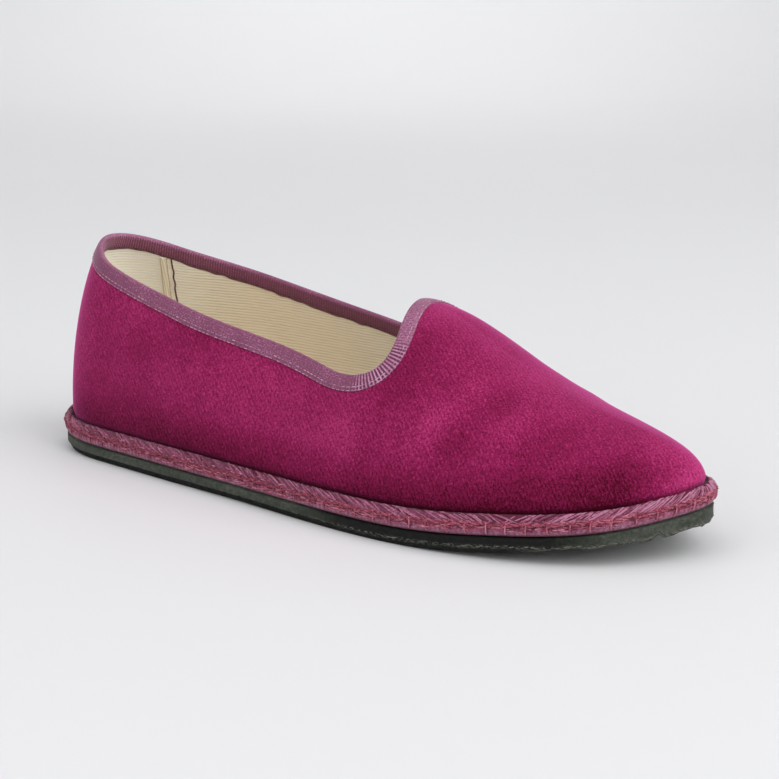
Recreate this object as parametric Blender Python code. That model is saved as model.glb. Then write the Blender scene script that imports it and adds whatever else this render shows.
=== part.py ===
"""Friulane slipper, right shoe, size 36: a velvet slip-on sewn to a taped welt over a thin rubber outsole.

Frame: metres, +X towards the toe, +Y to the medial side, +Z up.
The origin is on the floor, under the middle of the shoe's box.
All sizes below are millimetres. "Station" runs from 0 at the heel's back to 1 at the toe's tip.
"""
import math
from collections import namedtuple

import bpy
import numpy as np

MM = 0.001
GAP = 0.3                    # clearance between sewn or glued pieces

# Whole shoe
LENGTH = 244.0               # over the widest line of the welt
SPRING_START = 0.62          # station where the toe starts to rise
TOE_SPRING = 12.0            # rise of the sole under the toe's tip
HEEL_ROLL_START = 0.12       # station where the heel's edge starts to rise
HEEL_ROLL = 1.9
SWING_START = 0.78           # station where the toe starts to turn inwards
TOE_SWING = 3.0              # medial offset of the toe's tip

Section = namedtuple("Section", "station lateral medial")
HALF_WIDTHS = [              # over the welt, to each side of the last's axis
    Section(0.05, 23.2, 22.6),
    Section(0.14, 28.2, 28.2),
    Section(0.28, 32.2, 32.2),
    Section(0.44, 36.6, 34.4),
    Section(0.58, 40.4, 36.9),
    Section(0.70, 40.4, 36.4),
    Section(0.82, 35.0, 34.0),
    Section(0.92, 24.6, 25.0),
    Section(0.97, 14.0, 15.0),
]

# Outsole: a plate of tyre rubber, thinner at the arch and at the toe
OUTSOLE_THICK = 5.4
TOE_THINNING = 1.9
THINNING_START = 0.76        # stations over which the plate gets thinner
THINNING_END = 0.95
OUTSOLE_INSET = 0.4          # behind the welt's widest line
OUTSOLE_BEVEL = 1.6          # the lower edge tucks under
ARCH_RISE = 0.3
ARCH_START = 0.25
ARCH_END = 0.52

# Welt: a taped band of quilted cloth between outsole and upper
ProfilePoint = namedtuple("ProfilePoint", "inset height")
WELT_PROFILE = [             # from the lower outer edge, over the top, to the lower inner edge
    ProfilePoint(0.7, 0.0),
    ProfilePoint(0.2, 1.0),
    ProfilePoint(0.0, 2.7),
    ProfilePoint(0.2, 4.3),
    ProfilePoint(1.0, 5.6),
    ProfilePoint(2.2, 6.1),
    ProfilePoint(2.8, 5.4),
    ProfilePoint(7.0, 5.4),
    ProfilePoint(7.0, 0.0),
]
WELT_SEAT = 5.4              # height of the welt's flat ledge that carries the upper

# Insole: a cloth-covered block inside the welt, with a thin flange that runs to the upper
INSOLE_INSET = 7.3
INSOLE_FLANGE_INSET = 5.4
INSOLE_FLANGE = 1.4

# Upper: one wall of velvet and canvas
WALL = 2.0
FEATHER_INSET = 2.9          # outer face of the upper where it stands on the welt
ROUNDNESS = 1.9              # exponent of the arched sections, 2 is an ellipse
SPINE_HEEL = 31.5            # the sections' tops run along a spine, this far from the heel's back
SPINE_TOE = 26.5             # and this far from the toe's tip
TOE_BLEND_START = 0.6        # stations over which the toe's arch takes the spine's slope
TOE_BLEND_END = 0.9

Crest = namedtuple("Crest", "station height")
CRESTS = [                   # spine height; behind the throat it only shapes the open quarters
    Crest(0.00, 90.5),
    Crest(0.18, 98.0),
    Crest(0.40, 82.5),
    Crest(0.50, 72.4),
    Crest(0.61, 66.4),
    Crest(0.66, 64.6),
    Crest(0.75, 56.5),
    Crest(0.88, 44.2),
    Crest(1.00, 37.0),
]

Gape = namedtuple("Gape", "station lateral medial")
GAPES = [                    # how far each side of the open top leans out
    Gape(0.00, 0.0, 0.0),
    Gape(0.10, 3.3, 0.4),
    Gape(0.26, 0.4, 4.0),
    Gape(0.44, -7.7, 3.4),
    Gape(0.611, 0.0, 0.0),
    Gape(1.00, 0.0, 0.0),
]

# Collar line: the top of the binding, from the heel's back down to the throat's low corner
Collar = namedtuple("Collar", "station lateral medial")
COLLAR_HEIGHTS = [
    Collar(0.00, 76.0, 76.0),
    Collar(0.12, 67.8, 69.6),
    Collar(0.25, 60.2, 62.9),
    Collar(0.36, 54.5, 57.7),
    Collar(0.52, 47.2, 50.7),
]
PEAK_STATION = 0.611         # where the vamp's tongue-like peak crosses the spine
CORNER_REACH = 1.45          # how far the low edge runs on before it turns up, in parts of the throat
PEAK_LEAN = 0.008            # the rise leans forward of the peak by this station
RISE_MIDDLE = 0.45           # the rise's middle and
PEAK_ROUND = 0.475           # the peak's shoulder, in parts of the rise's angle
PEAK_EASE = 9.0              # near the peak the binding lies square to the shoe's axis

# Collar binding: folded ribbon over the upper's edge
BINDING_WIDTH = 5.5
TAPE = 0.6
EDGE_DROP = GAP + TAPE       # the upper's own edge lies this far under the collar line
SEAT_DEPTH = 0.7             # the wall steps in by this much, on both faces, to take the ribbon
SEAT_PARTS = (0.08, 0.54, 1.0)  # rows of the seat, in parts of the way from its step to the edge
SHOULDER = 0.55              # roundness of the fold, in parts of the tape
FOLD_FLAT = 0.45             # flat part of the fold's top, in parts of the wall

# Mesh density
SIDE_COLUMNS = 18            # heel's back to low corner
THROAT_COLUMNS = 14          # low corner to peak
VAMP_COLUMNS = 16            # peak to toe
WALL_ROWS = 10               # feather edge to binding, or to the spine
BINDING_ROWS = len(SEAT_PARTS)
SOLE_COLUMNS = 44
FOOT_TURN_LOW = math.radians(87)    # where the columns of the low corner and of the peak
FOOT_TURN_PEAK = math.radians(120)  # stand on the welt, and how the columns between them
FOOT_EASE = 0.55                    # fan forward
STEP = 1e-3                  # for numeric slopes, radians

LATERAL = -1
MEDIAL = 1
SIDES = (LATERAL, MEDIAL)
SEAM = 0


def spline(knots, values):
    """A natural cubic curve through a table's column."""
    knots = np.asarray(knots, float)
    values = np.asarray(values, float)
    spans = np.diff(knots)
    count = len(knots)
    matrix = np.eye(count)
    right = np.zeros(count)
    for i in range(1, count - 1):
        matrix[i, i - 1:i + 2] = spans[i - 1], 2 * (spans[i - 1] + spans[i]), spans[i]
        right[i] = 6 * ((values[i + 1] - values[i]) / spans[i] - (values[i] - values[i - 1]) / spans[i - 1])
    bend = np.linalg.solve(matrix, right)

    def curve(at):
        i = np.clip(np.searchsorted(knots, at) - 1, 0, count - 2)
        a = (knots[i + 1] - at) / spans[i]
        b = (at - knots[i]) / spans[i]
        cubic = ((a ** 3 - a) * bend[i] + (b ** 3 - b) * bend[i + 1]) * spans[i] ** 2 / 6
        return a * values[i] + b * values[i + 1] + cubic

    return curve


def smooth_part(at, start, end):
    """0 before start, 1 after end, an eased step between."""
    part = np.clip((at - start) / (end - start), 0.0, 1.0)
    return part * part * (3 - 2 * part)


def eased(at, knots, values):
    """Eased steps through a table's column, level at every row."""
    result = np.full(np.shape(at), values[0], float)
    for i in range(len(knots) - 1):
        result = result + (values[i + 1] - values[i]) * smooth_part(at, knots[i], knots[i + 1])
    return result


def unit(vectors):
    return vectors / np.linalg.norm(vectors, axis=-1, keepdims=True)


def lengths_along(points):
    """Distance of each point of a line from its first."""
    steps = np.linalg.norm(np.diff(points, axis=0), axis=1)
    return np.concatenate([[0.0], np.cumsum(steps)])


def turn_of(station):
    """Angle that spaces the stations closely at both round ends."""
    return np.arccos(np.clip(1 - 2 * np.asarray(station, float), -1, 1))


def station_of(turn):
    return (1 - np.cos(turn)) / 2


def column(table, name):
    return [getattr(row, name) for row in table]


def half_width_curve(name):
    turns = np.concatenate([[0.0], turn_of(column(HALF_WIDTHS, "station")), [math.pi]])
    return spline(turns, [0.0] + column(HALF_WIDTHS, name) + [0.0])


def collar_curve(name):
    return spline(column(COLLAR_HEIGHTS, "station"), column(COLLAR_HEIGHTS, name))


SIDE_NAME = {LATERAL: "lateral", MEDIAL: "medial"}
HALF_WIDTH = {side: half_width_curve(name) for side, name in SIDE_NAME.items()}
COLLAR_HEIGHT = {side: collar_curve(name) for side, name in SIDE_NAME.items()}
CREST_HEIGHT = spline(column(CRESTS, "station"), column(CRESTS, "height"))


# The sole's outline and the ground under it

def axis_swing(x):
    return TOE_SWING * np.clip((x / LENGTH - SWING_START) / (1 - SWING_START), 0, None) ** 2


def widest_line(turn, side):
    x = LENGTH * station_of(turn)
    return x, axis_swing(x) + side * HALF_WIDTH[side](turn)


def outline(turn, side, inset):
    """Plan of the shoe's edge, moved in square to itself."""
    x, y = widest_line(turn, side)
    ahead_x, ahead_y = widest_line(turn + STEP, side)
    behind_x, behind_y = widest_line(turn - STEP, side)
    run_x = ahead_x - behind_x
    run_y = ahead_y - behind_y
    length = np.hypot(run_x, run_y)
    return x + side * inset * run_y / length, y - side * inset * run_x / length


def sole_lift(x):
    """Rise of the sole's layers at the toe and at the heel's edge."""
    toe = np.clip((x / LENGTH - SPRING_START) / (1 - SPRING_START), 0, None)
    heel = np.clip((HEEL_ROLL_START - x / LENGTH) / HEEL_ROLL_START, 0, None)
    return TOE_SPRING * toe ** 2 + HEEL_ROLL * heel ** 2


def arch_lift(x):
    """Hollow under the waist of the outsole."""
    part = np.clip((x / LENGTH - ARCH_START) / (ARCH_END - ARCH_START), 0, 1)
    return ARCH_RISE * np.sin(math.pi * part) ** 2


def outsole_top(x):
    thickness = OUTSOLE_THICK - TOE_THINNING * smooth_part(x / LENGTH, THINNING_START, THINNING_END)
    return sole_lift(x) + thickness


def welt_top(x):
    return outsole_top(x) + GAP + WELT_SEAT


# The upper's outer face, as a function of turn (along the foot) and rise (up the arch)

def upper_point(turn, rise, side):
    station = station_of(turn)
    foot_x, foot_y = outline(turn, side, FEATHER_INSET)
    base = welt_top(foot_x) + GAP
    spine_length = LENGTH - SPINE_TOE - SPINE_HEEL
    spine_x = SPINE_HEEL + spine_length * station
    spine_y = axis_swing(spine_x)
    crest = CREST_HEIGHT(station)
    slope = (CREST_HEIGHT(station + STEP) - CREST_HEIGHT(station - STEP)) / (2 * STEP * spine_length)
    slope = slope * smooth_part(station, TOE_BLEND_START, TOE_BLEND_END)
    out = np.cos(rise) ** (2 / ROUNDNESS)
    up = np.sin(rise) ** (2 / ROUNDNESS)
    gape = eased(station, column(GAPES, "station"), column(GAPES, SIDE_NAME[side]))
    x = spine_x + (foot_x - spine_x) * out
    y = spine_y + (foot_y - spine_y) * out + side * gape * up
    z = base + (crest - base) * up + slope * (foot_x - spine_x) * out * (1 - out)
    return np.stack([x, y, z], -1)


def rise_at_height(turn, height):
    """Rise of the wall's point at a given height."""
    foot_x, _ = outline(turn, LATERAL, FEATHER_INSET)
    base = welt_top(foot_x) + GAP
    up = (height - base) / (CREST_HEIGHT(station_of(turn)) - base)
    return np.arcsin(np.clip(up, 0, 1) ** (ROUNDNESS / 2))


def collar_line(side):
    """Turn and rise of the collar, from the heel's back to the vamp's peak."""
    low_station = COLLAR_HEIGHTS[-1].station
    side_turns = np.linspace(0, turn_of(low_station), SIDE_COLUMNS + 1)
    side_rises = rise_at_height(side_turns, COLLAR_HEIGHT[side](station_of(side_turns)))
    low_rise = side_rises[-1]
    climb = math.pi / 2 - low_rise
    throat = PEAK_STATION - low_station
    controls = np.array([
        [low_station, low_rise],
        [low_station + CORNER_REACH * throat, low_rise],
        [PEAK_STATION + PEAK_LEAN, low_rise + RISE_MIDDLE * climb],
        [PEAK_STATION, math.pi / 2 - PEAK_ROUND * climb],
        [PEAK_STATION, math.pi / 2],
    ])
    degree = len(controls) - 1
    part = np.linspace(0, 1, THROAT_COLUMNS + 1)[1:, None]
    throat_line = np.zeros((THROAT_COLUMNS, 2))
    for i, control in enumerate(controls):
        throat_line += math.comb(degree, i) * (1 - part) ** (degree - i) * part ** i * control
    turns = np.concatenate([side_turns, turn_of(throat_line[:, 0])])
    rises = np.concatenate([side_rises, throat_line[:, 1]])
    return turns, rises


def slide_from_edge(turns, rises, side, distance):
    """Move a collar-like line over the surface, square to itself, into the upper."""
    points = upper_point(turns, rises, side)
    along = unit(np.gradient(points, axis=0))
    along[0] = 0, side, 0
    to_peak = lengths_along(points[::-1])[::-1]
    square = 1 - smooth_part(to_peak, 0.0, PEAK_EASE)
    along = along * (1 - square)[:, None] + square[:, None] * (0, -side, 0)
    by_turn = (upper_point(turns + STEP, rises, side) - upper_point(turns - STEP, rises, side)) / (2 * STEP)
    high = np.minimum(rises + STEP, math.pi / 2)
    low = rises - STEP
    by_rise = (upper_point(turns, high, side) - upper_point(turns, low, side)) / (high - low)[:, None]
    inward = unit(np.cross(along, np.cross(by_turn, by_rise)))
    new_turns = turns.copy()
    new_rises = rises.copy()
    for i in range(len(turns)):
        slopes = np.stack([by_turn[i], by_rise[i]], 1)
        step, _, _, _ = np.linalg.lstsq(slopes, inward[i] * distance, rcond=None)
        new_turns[i] += step[0]
        new_rises[i] += step[1]
    new_turns[0] = 0.0
    new_rises[-1] = math.pi / 2
    return new_turns, new_rises


# The upper's grid: quarter columns end at the collar, vamp columns at the spine

QUARTER_COLUMNS = SIDE_COLUMNS + THROAT_COLUMNS
TOP_ROW = WALL_ROWS + BINDING_ROWS
LAST_COLUMN = QUARTER_COLUMNS + VAMP_COLUMNS


def upper_grid(side):
    """Outer points by (column, row), the rows above the binding's edge only on quarter columns."""
    turns, rises = collar_line(side)
    edge_turns, edge_rises = slide_from_edge(turns, rises, side, EDGE_DROP)
    hem_turns, hem_rises = slide_from_edge(turns, rises, side, BINDING_WIDTH)
    foot_side = hem_turns[:SIDE_COLUMNS + 1] * FOOT_TURN_LOW / hem_turns[SIDE_COLUMNS]
    fan = np.linspace(0, 1, THROAT_COLUMNS + 1)[1:] ** FOOT_EASE
    foot_throat = FOOT_TURN_LOW + (FOOT_TURN_PEAK - FOOT_TURN_LOW) * fan
    foot_turns = np.concatenate([foot_side, foot_throat])
    vamp_part = np.linspace(0, 1, VAMP_COLUMNS + 1)[1:]
    vamp_foot = FOOT_TURN_PEAK + (math.pi - FOOT_TURN_PEAK) * vamp_part
    vamp_crest = hem_turns[-1] + (math.pi - hem_turns[-1]) * vamp_part
    points = {}
    for row in range(WALL_ROWS + 1):
        part = row / WALL_ROWS
        quarter = upper_point(foot_turns + (hem_turns - foot_turns) * part, hem_rises * part, side)
        vamp = upper_point(vamp_foot + (vamp_crest - vamp_foot) * part,
                           np.full(VAMP_COLUMNS, part * math.pi / 2), side)
        for i, point in enumerate(np.concatenate([quarter, vamp])):
            points[i, row] = point
    for row in range(WALL_ROWS + 1, TOP_ROW + 1):
        part = SEAT_PARTS[row - WALL_ROWS - 1]
        quarter = upper_point(hem_turns + (edge_turns - hem_turns) * part,
                              hem_rises + (edge_rises - hem_rises) * part, side)
        for i, point in enumerate(quarter):
            points[i, row] = point
    return points


def on_seam(i, row):
    """Points that the lateral and medial halves share."""
    heel_or_toe = i in (0, LAST_COLUMN)
    spine = i >= QUARTER_COLUMNS and row >= WALL_ROWS
    return heel_or_toe or spine


def seam_key(side, i, row):
    return (SEAM if on_seam(i, row) else side, i, row)


def upper_faces():
    """Outer triangles as seam keys, wound to face out."""
    faces = []
    for side in SIDES:
        for i in range(LAST_COLUMN):
            rows = TOP_ROW if i < QUARTER_COLUMNS else WALL_ROWS
            for row in range(rows):
                near_low = seam_key(side, i, row)
                far_low = seam_key(side, i + 1, row)
                far_high = seam_key(side, i + 1, row + 1)
                near_high = seam_key(side, i, row + 1)
                for face in ((near_low, far_low, far_high), (near_low, far_high, near_high)):
                    if side == MEDIAL:
                        face = face[::-1]
                    faces.append(face)
    return faces


def upper_skins():
    """Outer points, inner points and outward normals of the upper, by seam key."""
    outer = {}
    for side in SIDES:
        for (i, row), point in upper_grid(side).items():
            outer[seam_key(side, i, row)] = point
    normals = {key: np.zeros(3) for key in outer}
    for face in upper_faces():
        a, b, c = (outer[key] for key in face)
        normal = np.cross(b - a, c - a)
        for key in face:
            normals[key] = normals[key] + normal
    inner = {}
    for key, normal in normals.items():
        normals[key] = unit(normal)
        row = key[2]
        seat = SEAT_DEPTH if row > WALL_ROWS else 0.0
        inner[key] = outer[key] - (WALL - seat) * normals[key]
        outer[key] = outer[key] - seat * normals[key]
        if row == 0:
            inner[key][2] = welt_top(inner[key][0]) + GAP
    return outer, inner, normals


def ring_keys(row, last_column):
    """Keys around one row, from the heel's back along the lateral side and back along the medial one."""
    lateral = [seam_key(LATERAL, i, row) for i in range(last_column + 1)]
    medial = [seam_key(MEDIAL, i, row) for i in range(last_column - 1, 0, -1)]
    return lateral + medial


# Building and placing meshes

def axis_shift():
    """Sideways move that puts the box's middle on the origin."""
    turns = np.linspace(0, math.pi, 400)
    lateral = min(widest_line(turns, LATERAL)[1])
    medial = max(widest_line(turns, MEDIAL)[1])
    return -(lateral + medial) / 2


def placed(points):
    """From millimetres along the shoe to metres about the origin."""
    points = np.array(points, float)
    points[:, 0] -= LENGTH / 2
    points[:, 1] += axis_shift()
    return points * MM


def add_material(name, colour, roughness):
    material = bpy.data.materials.new(name)
    material.use_nodes = True
    shader = material.node_tree.nodes["Principled BSDF"]
    shader.inputs["Base Color"].default_value = (*colour, 1.0)
    shader.inputs["Roughness"].default_value = roughness
    shader.inputs["Metallic"].default_value = 0.0
    return material


def add_object(name, points, faces, material):
    mesh = bpy.data.meshes.new(name)
    mesh.from_pydata(placed(points).tolist(), [], faces)
    mesh.validate()
    mesh.materials.append(material)
    mesh.shade_smooth()
    mesh.set_sharp_from_angle(angle=math.radians(40))
    node = bpy.data.objects.new(name, mesh)
    bpy.context.collection.objects.link(node)
    return node


def ring_of_profile(rings, faces):
    """Triangles between the points of a closed profile on each of a closed row of rings."""
    count = len(rings)
    size = len(rings[0])
    for i in range(count):
        for j in range(size):
            a = rings[i][j]
            b = rings[(i + 1) % count][j]
            c = rings[(i + 1) % count][(j + 1) % size]
            d = rings[i][(j + 1) % size]
            faces.append((a, b, c))
            faces.append((a, c, d))


def sole_turns():
    return np.linspace(0, math.pi, SOLE_COLUMNS + 1)


def edge_loop(inset):
    """Plan points around the sole, from the heel's back along the lateral side and back."""
    turns = sole_turns()
    lateral_x, lateral_y = outline(turns, LATERAL, inset)
    medial_x, medial_y = outline(turns[-2:0:-1], MEDIAL, inset)
    return np.stack([np.concatenate([lateral_x, medial_x]), np.concatenate([lateral_y, medial_y])], 1)


def stacked_plate(layers):
    """Closed plate from (inset, height function) layers, bottom first, with ladder caps."""
    points = []
    faces = []
    count = 2 * SOLE_COLUMNS
    for inset, height in layers:
        for x, y in edge_loop(inset):
            points.append((x, y, height(x)))
    for level in range(len(layers) - 1):
        low = level * count
        high = low + count
        for i in range(count):
            j = (i + 1) % count
            faces.append((low + i, low + j, high + j))
            faces.append((low + i, high + j, high + i))
    top = (len(layers) - 1) * count
    for i in range(SOLE_COLUMNS):
        lateral = i, i + 1
        medial = (count - i) % count, count - i - 1
        for start, upward in ((0, False), (top, True)):
            corners = (lateral[0], lateral[1], medial[1], medial[0])
            ladder = list(dict.fromkeys(start + corner for corner in corners))
            faces.append(tuple(ladder if upward else ladder[::-1]))
    return points, faces


def add_outsole():
    def bottom(x):
        return sole_lift(x) + arch_lift(x)

    def bevel_top(x):
        return bottom(x) + OUTSOLE_BEVEL

    layers = [
        (OUTSOLE_INSET + OUTSOLE_BEVEL, bottom),
        (OUTSOLE_INSET, bevel_top),
        (OUTSOLE_INSET, outsole_top),
    ]
    points, faces = stacked_plate(layers)
    return add_object("outsole", points, faces, add_material("rubber", (0.035, 0.042, 0.032), 0.75))


def add_welt():
    points = []
    rings = [[] for _ in range(2 * SOLE_COLUMNS)]
    for inset, height in WELT_PROFILE:
        for i, (x, y) in enumerate(edge_loop(inset)):
            rings[i].append(len(points))
            points.append((x, y, outsole_top(x) + GAP + height))
    faces = []
    ring_of_profile(rings, faces)
    return add_object("welt", points, faces, add_material("welt_tape", (0.21, 0.075, 0.13), 0.8))


def add_insole():
    def low(x):
        return outsole_top(x) + GAP

    def ledge(x):
        return welt_top(x) + GAP

    def high(x):
        return ledge(x) + INSOLE_FLANGE

    layers = [
        (INSOLE_INSET, low),
        (INSOLE_INSET, ledge),
        (INSOLE_FLANGE_INSET, ledge),
        (INSOLE_FLANGE_INSET, high),
    ]
    points, faces = stacked_plate(layers)
    return add_object("insole", points, faces, add_material("insole_canvas", (0.55, 0.45, 0.30), 0.9))


def add_upper(outer, inner):
    keys = list(outer)
    outer_index = {key: i for i, key in enumerate(keys)}
    inner_index = {key: i + len(keys) for i, key in enumerate(keys)}
    points = [outer[key] for key in keys] + [inner[key] for key in keys]
    faces = []
    for face in upper_faces():
        faces.append(tuple(outer_index[key] for key in face))
        faces.append(tuple(inner_index[key] for key in reversed(face)))
    feather = ring_keys(0, LAST_COLUMN)
    rim = ring_keys(TOP_ROW, QUARTER_COLUMNS)
    for ring, upward in ((feather, False), (rim, True)):
        for key, after in zip(ring, ring[1:] + ring[:1]):
            quad = (outer_index[key], outer_index[after], inner_index[after], inner_index[key])
            quad = quad if upward else quad[::-1]
            faces.append(quad[:3])
            faces.append((quad[0], quad[2], quad[3]))
    return add_object("upper", points, faces, add_material("velvet", (0.30, 0.015, 0.11), 0.9))


def binding_profile(key, outer, inner, normals):
    """Section of the folded ribbon over the upper's edge, at one column."""
    side, i, _ = key
    rows = range(WALL_ROWS + 1, TOP_ROW + 1)
    keys = [seam_key(side, i, row) for row in rows]
    face = GAP + TAPE
    out_leg = [outer[k] + normals[k] * face for k in keys]
    out_gap = [outer[k] + normals[k] * GAP for k in keys]
    in_leg = [inner[k] - normals[k] * face for k in keys]
    in_gap = [inner[k] - normals[k] * GAP for k in keys]
    top = keys[-1]
    middle = (outer[top] + inner[top]) / 2
    across = normals[top]
    up = unit(outer[top] - outer[keys[-2]])
    half = WALL / 2 - SEAT_DEPTH
    shoulder_out = half + GAP + TAPE * (1 - SHOULDER / 2)
    shoulder_up = up * (GAP + TAPE * SHOULDER)
    flat = across * half * FOLD_FLAT
    fold = [
        middle + across * shoulder_out + shoulder_up,
        middle + flat + up * face,
        middle - flat + up * face,
        middle - across * shoulder_out + shoulder_up,
    ]
    lining = [
        middle - across * (half + GAP) + up * GAP,
        middle + across * (half + GAP) + up * GAP,
    ]
    return out_leg + fold + in_leg[::-1] + in_gap + lining + out_gap[::-1]


def add_binding(outer, inner, normals):
    points = []
    rings = []
    for key in ring_keys(TOP_ROW, QUARTER_COLUMNS):
        profile = binding_profile(key, outer, inner, normals)
        rings.append(list(range(len(points), len(points) + len(profile))))
        points.extend(profile)
    faces = []
    ring_of_profile(rings, faces)
    return add_object("collar_binding", points, faces, add_material("ribbon", (0.20, 0.075, 0.155), 0.7))


def main():
    for old in list(bpy.data.objects):
        bpy.data.objects.remove(old)
    add_outsole()
    add_welt()
    add_insole()
    outer, inner, normals = upper_skins()
    add_upper(outer, inner)
    add_binding(outer, inner, normals)


main()
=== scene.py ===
"""Looks of the friulane slipper, right shoe: velvet, ribbon, taped welt, rubber and canvas.

Frame: metres, +X towards the toe, +Y to the medial side, +Z up, origin on the floor under the box's middle.
The surfaces are worked out in millimetres along the shoe, as in the part's source, and placed at the end.
A station runs from 0 at the heel's back to 1 at the toe's tip, and a turn from 0 to pi between the same ends.
A rise runs from 0 at the welt to half pi on the crest. A reach gives places along the shoe.
"""
import math
from collections import namedtuple

import bpy
import numpy as np
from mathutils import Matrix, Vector


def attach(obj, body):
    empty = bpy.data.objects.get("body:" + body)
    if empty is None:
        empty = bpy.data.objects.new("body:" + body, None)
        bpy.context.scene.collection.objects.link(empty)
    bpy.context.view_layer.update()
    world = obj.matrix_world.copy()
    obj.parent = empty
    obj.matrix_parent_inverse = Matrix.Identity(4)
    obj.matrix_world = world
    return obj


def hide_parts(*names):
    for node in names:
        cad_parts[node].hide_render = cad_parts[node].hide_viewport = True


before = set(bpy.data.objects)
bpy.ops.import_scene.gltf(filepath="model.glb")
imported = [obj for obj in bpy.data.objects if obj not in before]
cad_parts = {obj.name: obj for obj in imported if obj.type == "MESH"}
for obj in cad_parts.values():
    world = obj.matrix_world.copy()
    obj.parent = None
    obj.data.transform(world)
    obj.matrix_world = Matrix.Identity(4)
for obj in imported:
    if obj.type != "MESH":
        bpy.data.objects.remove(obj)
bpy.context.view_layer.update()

MM = 0.001
GAP = 0.3  # clearance between sewn or glued pieces
STEP = 1e-3  # for slopes
LATERAL = -1
MEDIAL = 1
SIDES = (LATERAL, MEDIAL)

# Whole shoe, with half widths over the welt to each side of the last's axis
LENGTH = 244.0
SPRING_START = 0.62
TOE_SPRING = 12.0
HEEL_ROLL_START = 0.12
HEEL_ROLL = 1.9
SWING_START = 0.78
TOE_SWING = 3.0
WIDTH_STATIONS = (0.05, 0.14, 0.28, 0.44, 0.58, 0.70, 0.82, 0.92, 0.97)
HALF_WIDTHS = {
    LATERAL: (23.2, 28.2, 32.2, 36.6, 40.4, 40.4, 35.0, 24.6, 14.0),
    MEDIAL: (22.6, 28.2, 32.2, 34.4, 36.9, 36.4, 34.0, 25.0, 15.0),
}

# Outsole
OUTSOLE_THICK = 5.4
TOE_THINNING = 1.9
THINNING_START = 0.76
THINNING_END = 0.95
OUTSOLE_INSET = 0.4
OUTSOLE_BEVEL = 1.6
ARCH_RISE = 0.3
ARCH_START = 0.25
ARCH_END = 0.52

# Welt: inset and height of its outer face, from the lower edge over the top to the ledge
WELT_INSETS = (0.7, 0.2, 0.0, 0.2, 1.0, 2.2, 2.8)
WELT_HEIGHTS = (0.0, 1.0, 2.7, 4.3, 5.6, 6.1, 5.4)
WELT_SEAT = 5.4
WELT_INNER = 7.0  # inset of the band's inner face

# Insole
INSOLE_INSET = 7.3
INSOLE_FLANGE_INSET = 5.4
INSOLE_FLANGE = 1.4
INSOLE_DISH = 0.7
INSOLE_COLUMNS = 160
INSOLE_ACROSS = 30

# Upper, whose wall is velvet outside and canvas inside
WALL = 2.0
VELVET = 1.05
LINING_CLEAR = 0.05
SEAT_CLEAR = 0.02
FEATHER_INSET = 2.9
ROUNDNESS = 1.9
SPINE_HEEL = 31.5
SPINE_TOE = 26.5
TOE_BLEND_START = 0.6
TOE_BLEND_END = 0.9
CREST_STATIONS = (0.00, 0.18, 0.40, 0.50, 0.61, 0.66, 0.75, 0.88, 1.00)
CRESTS = (90.5, 98.0, 82.5, 72.4, 66.4, 64.6, 56.5, 44.2, 37.0)
GAPE_STATIONS = (0.00, 0.10, 0.26, 0.44, 0.611, 1.00)
GAPES = {LATERAL: (0.0, 3.3, 0.4, -7.7, 0.0, 0.0), MEDIAL: (0.0, 0.4, 4.0, 3.4, 0.0, 0.0)}

# Collar line
COLLAR_STATIONS = (0.00, 0.12, 0.25, 0.36, 0.52)
COLLAR_HEIGHTS = {LATERAL: (76.0, 67.8, 60.2, 54.5, 47.2), MEDIAL: (76.0, 69.6, 62.9, 57.7, 50.7)}
PEAK_STATION = 0.611
CORNER_REACH = 1.45
PEAK_LEAN = 0.008
RISE_MIDDLE = 0.45
PEAK_ROUND = 0.475
PEAK_EASE = 9.0  # near the peak the ribbon lies square to the shoe's axis

# Collar binding
BINDING_WIDTH = 5.5
TAPE = 0.6
EDGE_DROP = GAP + TAPE
SEAT_DEPTH = 0.7
SEAT_PARTS = np.array([0.08, 0.54, 1.0])
OUTER_FACE = GAP + TAPE - SEAT_DEPTH  # offsets of the ribbon's faces from the wall's outer face
OUTER_BACK = GAP - SEAT_DEPTH
INNER_BACK = -(WALL - SEAT_DEPTH + GAP)
INNER_FACE = INNER_BACK - TAPE

# Grid of the upper: the throat's columns stand on the welt between two turns, and rows are close there
FOOT_TURN_LOW = math.radians(87)
FOOT_TURN_PEAK = math.radians(120)
FOOT_EASE = 0.55
SIDE_COLUMNS = 120
THROAT_COLUMNS = 70
VAMP_COLUMNS = 100
WALL_PARTS = np.concatenate([(0.0, 0.01, 0.022, 0.036), np.linspace(0.05, 1.0, 52)])
WALL_ROWS = len(WALL_PARTS) - 1
TOP_ROW = WALL_ROWS + len(SEAT_PARTS)
QUARTER_COLUMNS = SIDE_COLUMNS + THROAT_COLUMNS
LAST_COLUMN = QUARTER_COLUMNS + VAMP_COLUMNS

# Soft troughs (negative) and ridges of the velvet: two ends as (along, height), width and lift
TUCK = 0.7  # the velvet turns in at the welt
TUCK_HEIGHT = 2.6
FOLD_CLEAR = 8.0  # below this height the folds fade out to the welt
FOLD_STRENGTH = 0.7
SIDE_FACING = (0.1, 0.5)  # a side's folds and marks fade where it turns up or away
FOLDS = {
    LATERAL: (
        ((58, 49), (108, 39), 7.0, -0.7), ((46, 33), (82, 36), 10.0, 0.7),
        ((134, 29), (128, 24), 4.5, 0.5), ((141, 25), (137, 21), 4.0, -0.6),
        ((174, 46), (159, 27), 5.0, 0.45), ((183, 45), (173, 29), 5.0, -0.4),
        ((195, 42), (187, 31), 5.0, 0.6), ((207, 37), (200, 29), 5.0, -0.5),
        ((224, 33), (215, 29), 4.0, 0.35),
    ),
    MEDIAL: (
        ((62, 52), (112, 43), 7.0, -0.7), ((40, 36), (90, 34), 10.0, 0.6),
        ((168, 45), (160, 28), 5.0, 0.6), ((180, 43), (172, 28), 5.0, -0.6),
        ((198, 38), (190, 28), 5.0, 0.5), ((120, 33), (136, 27), 6.0, -0.5),
    ),
}

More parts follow.
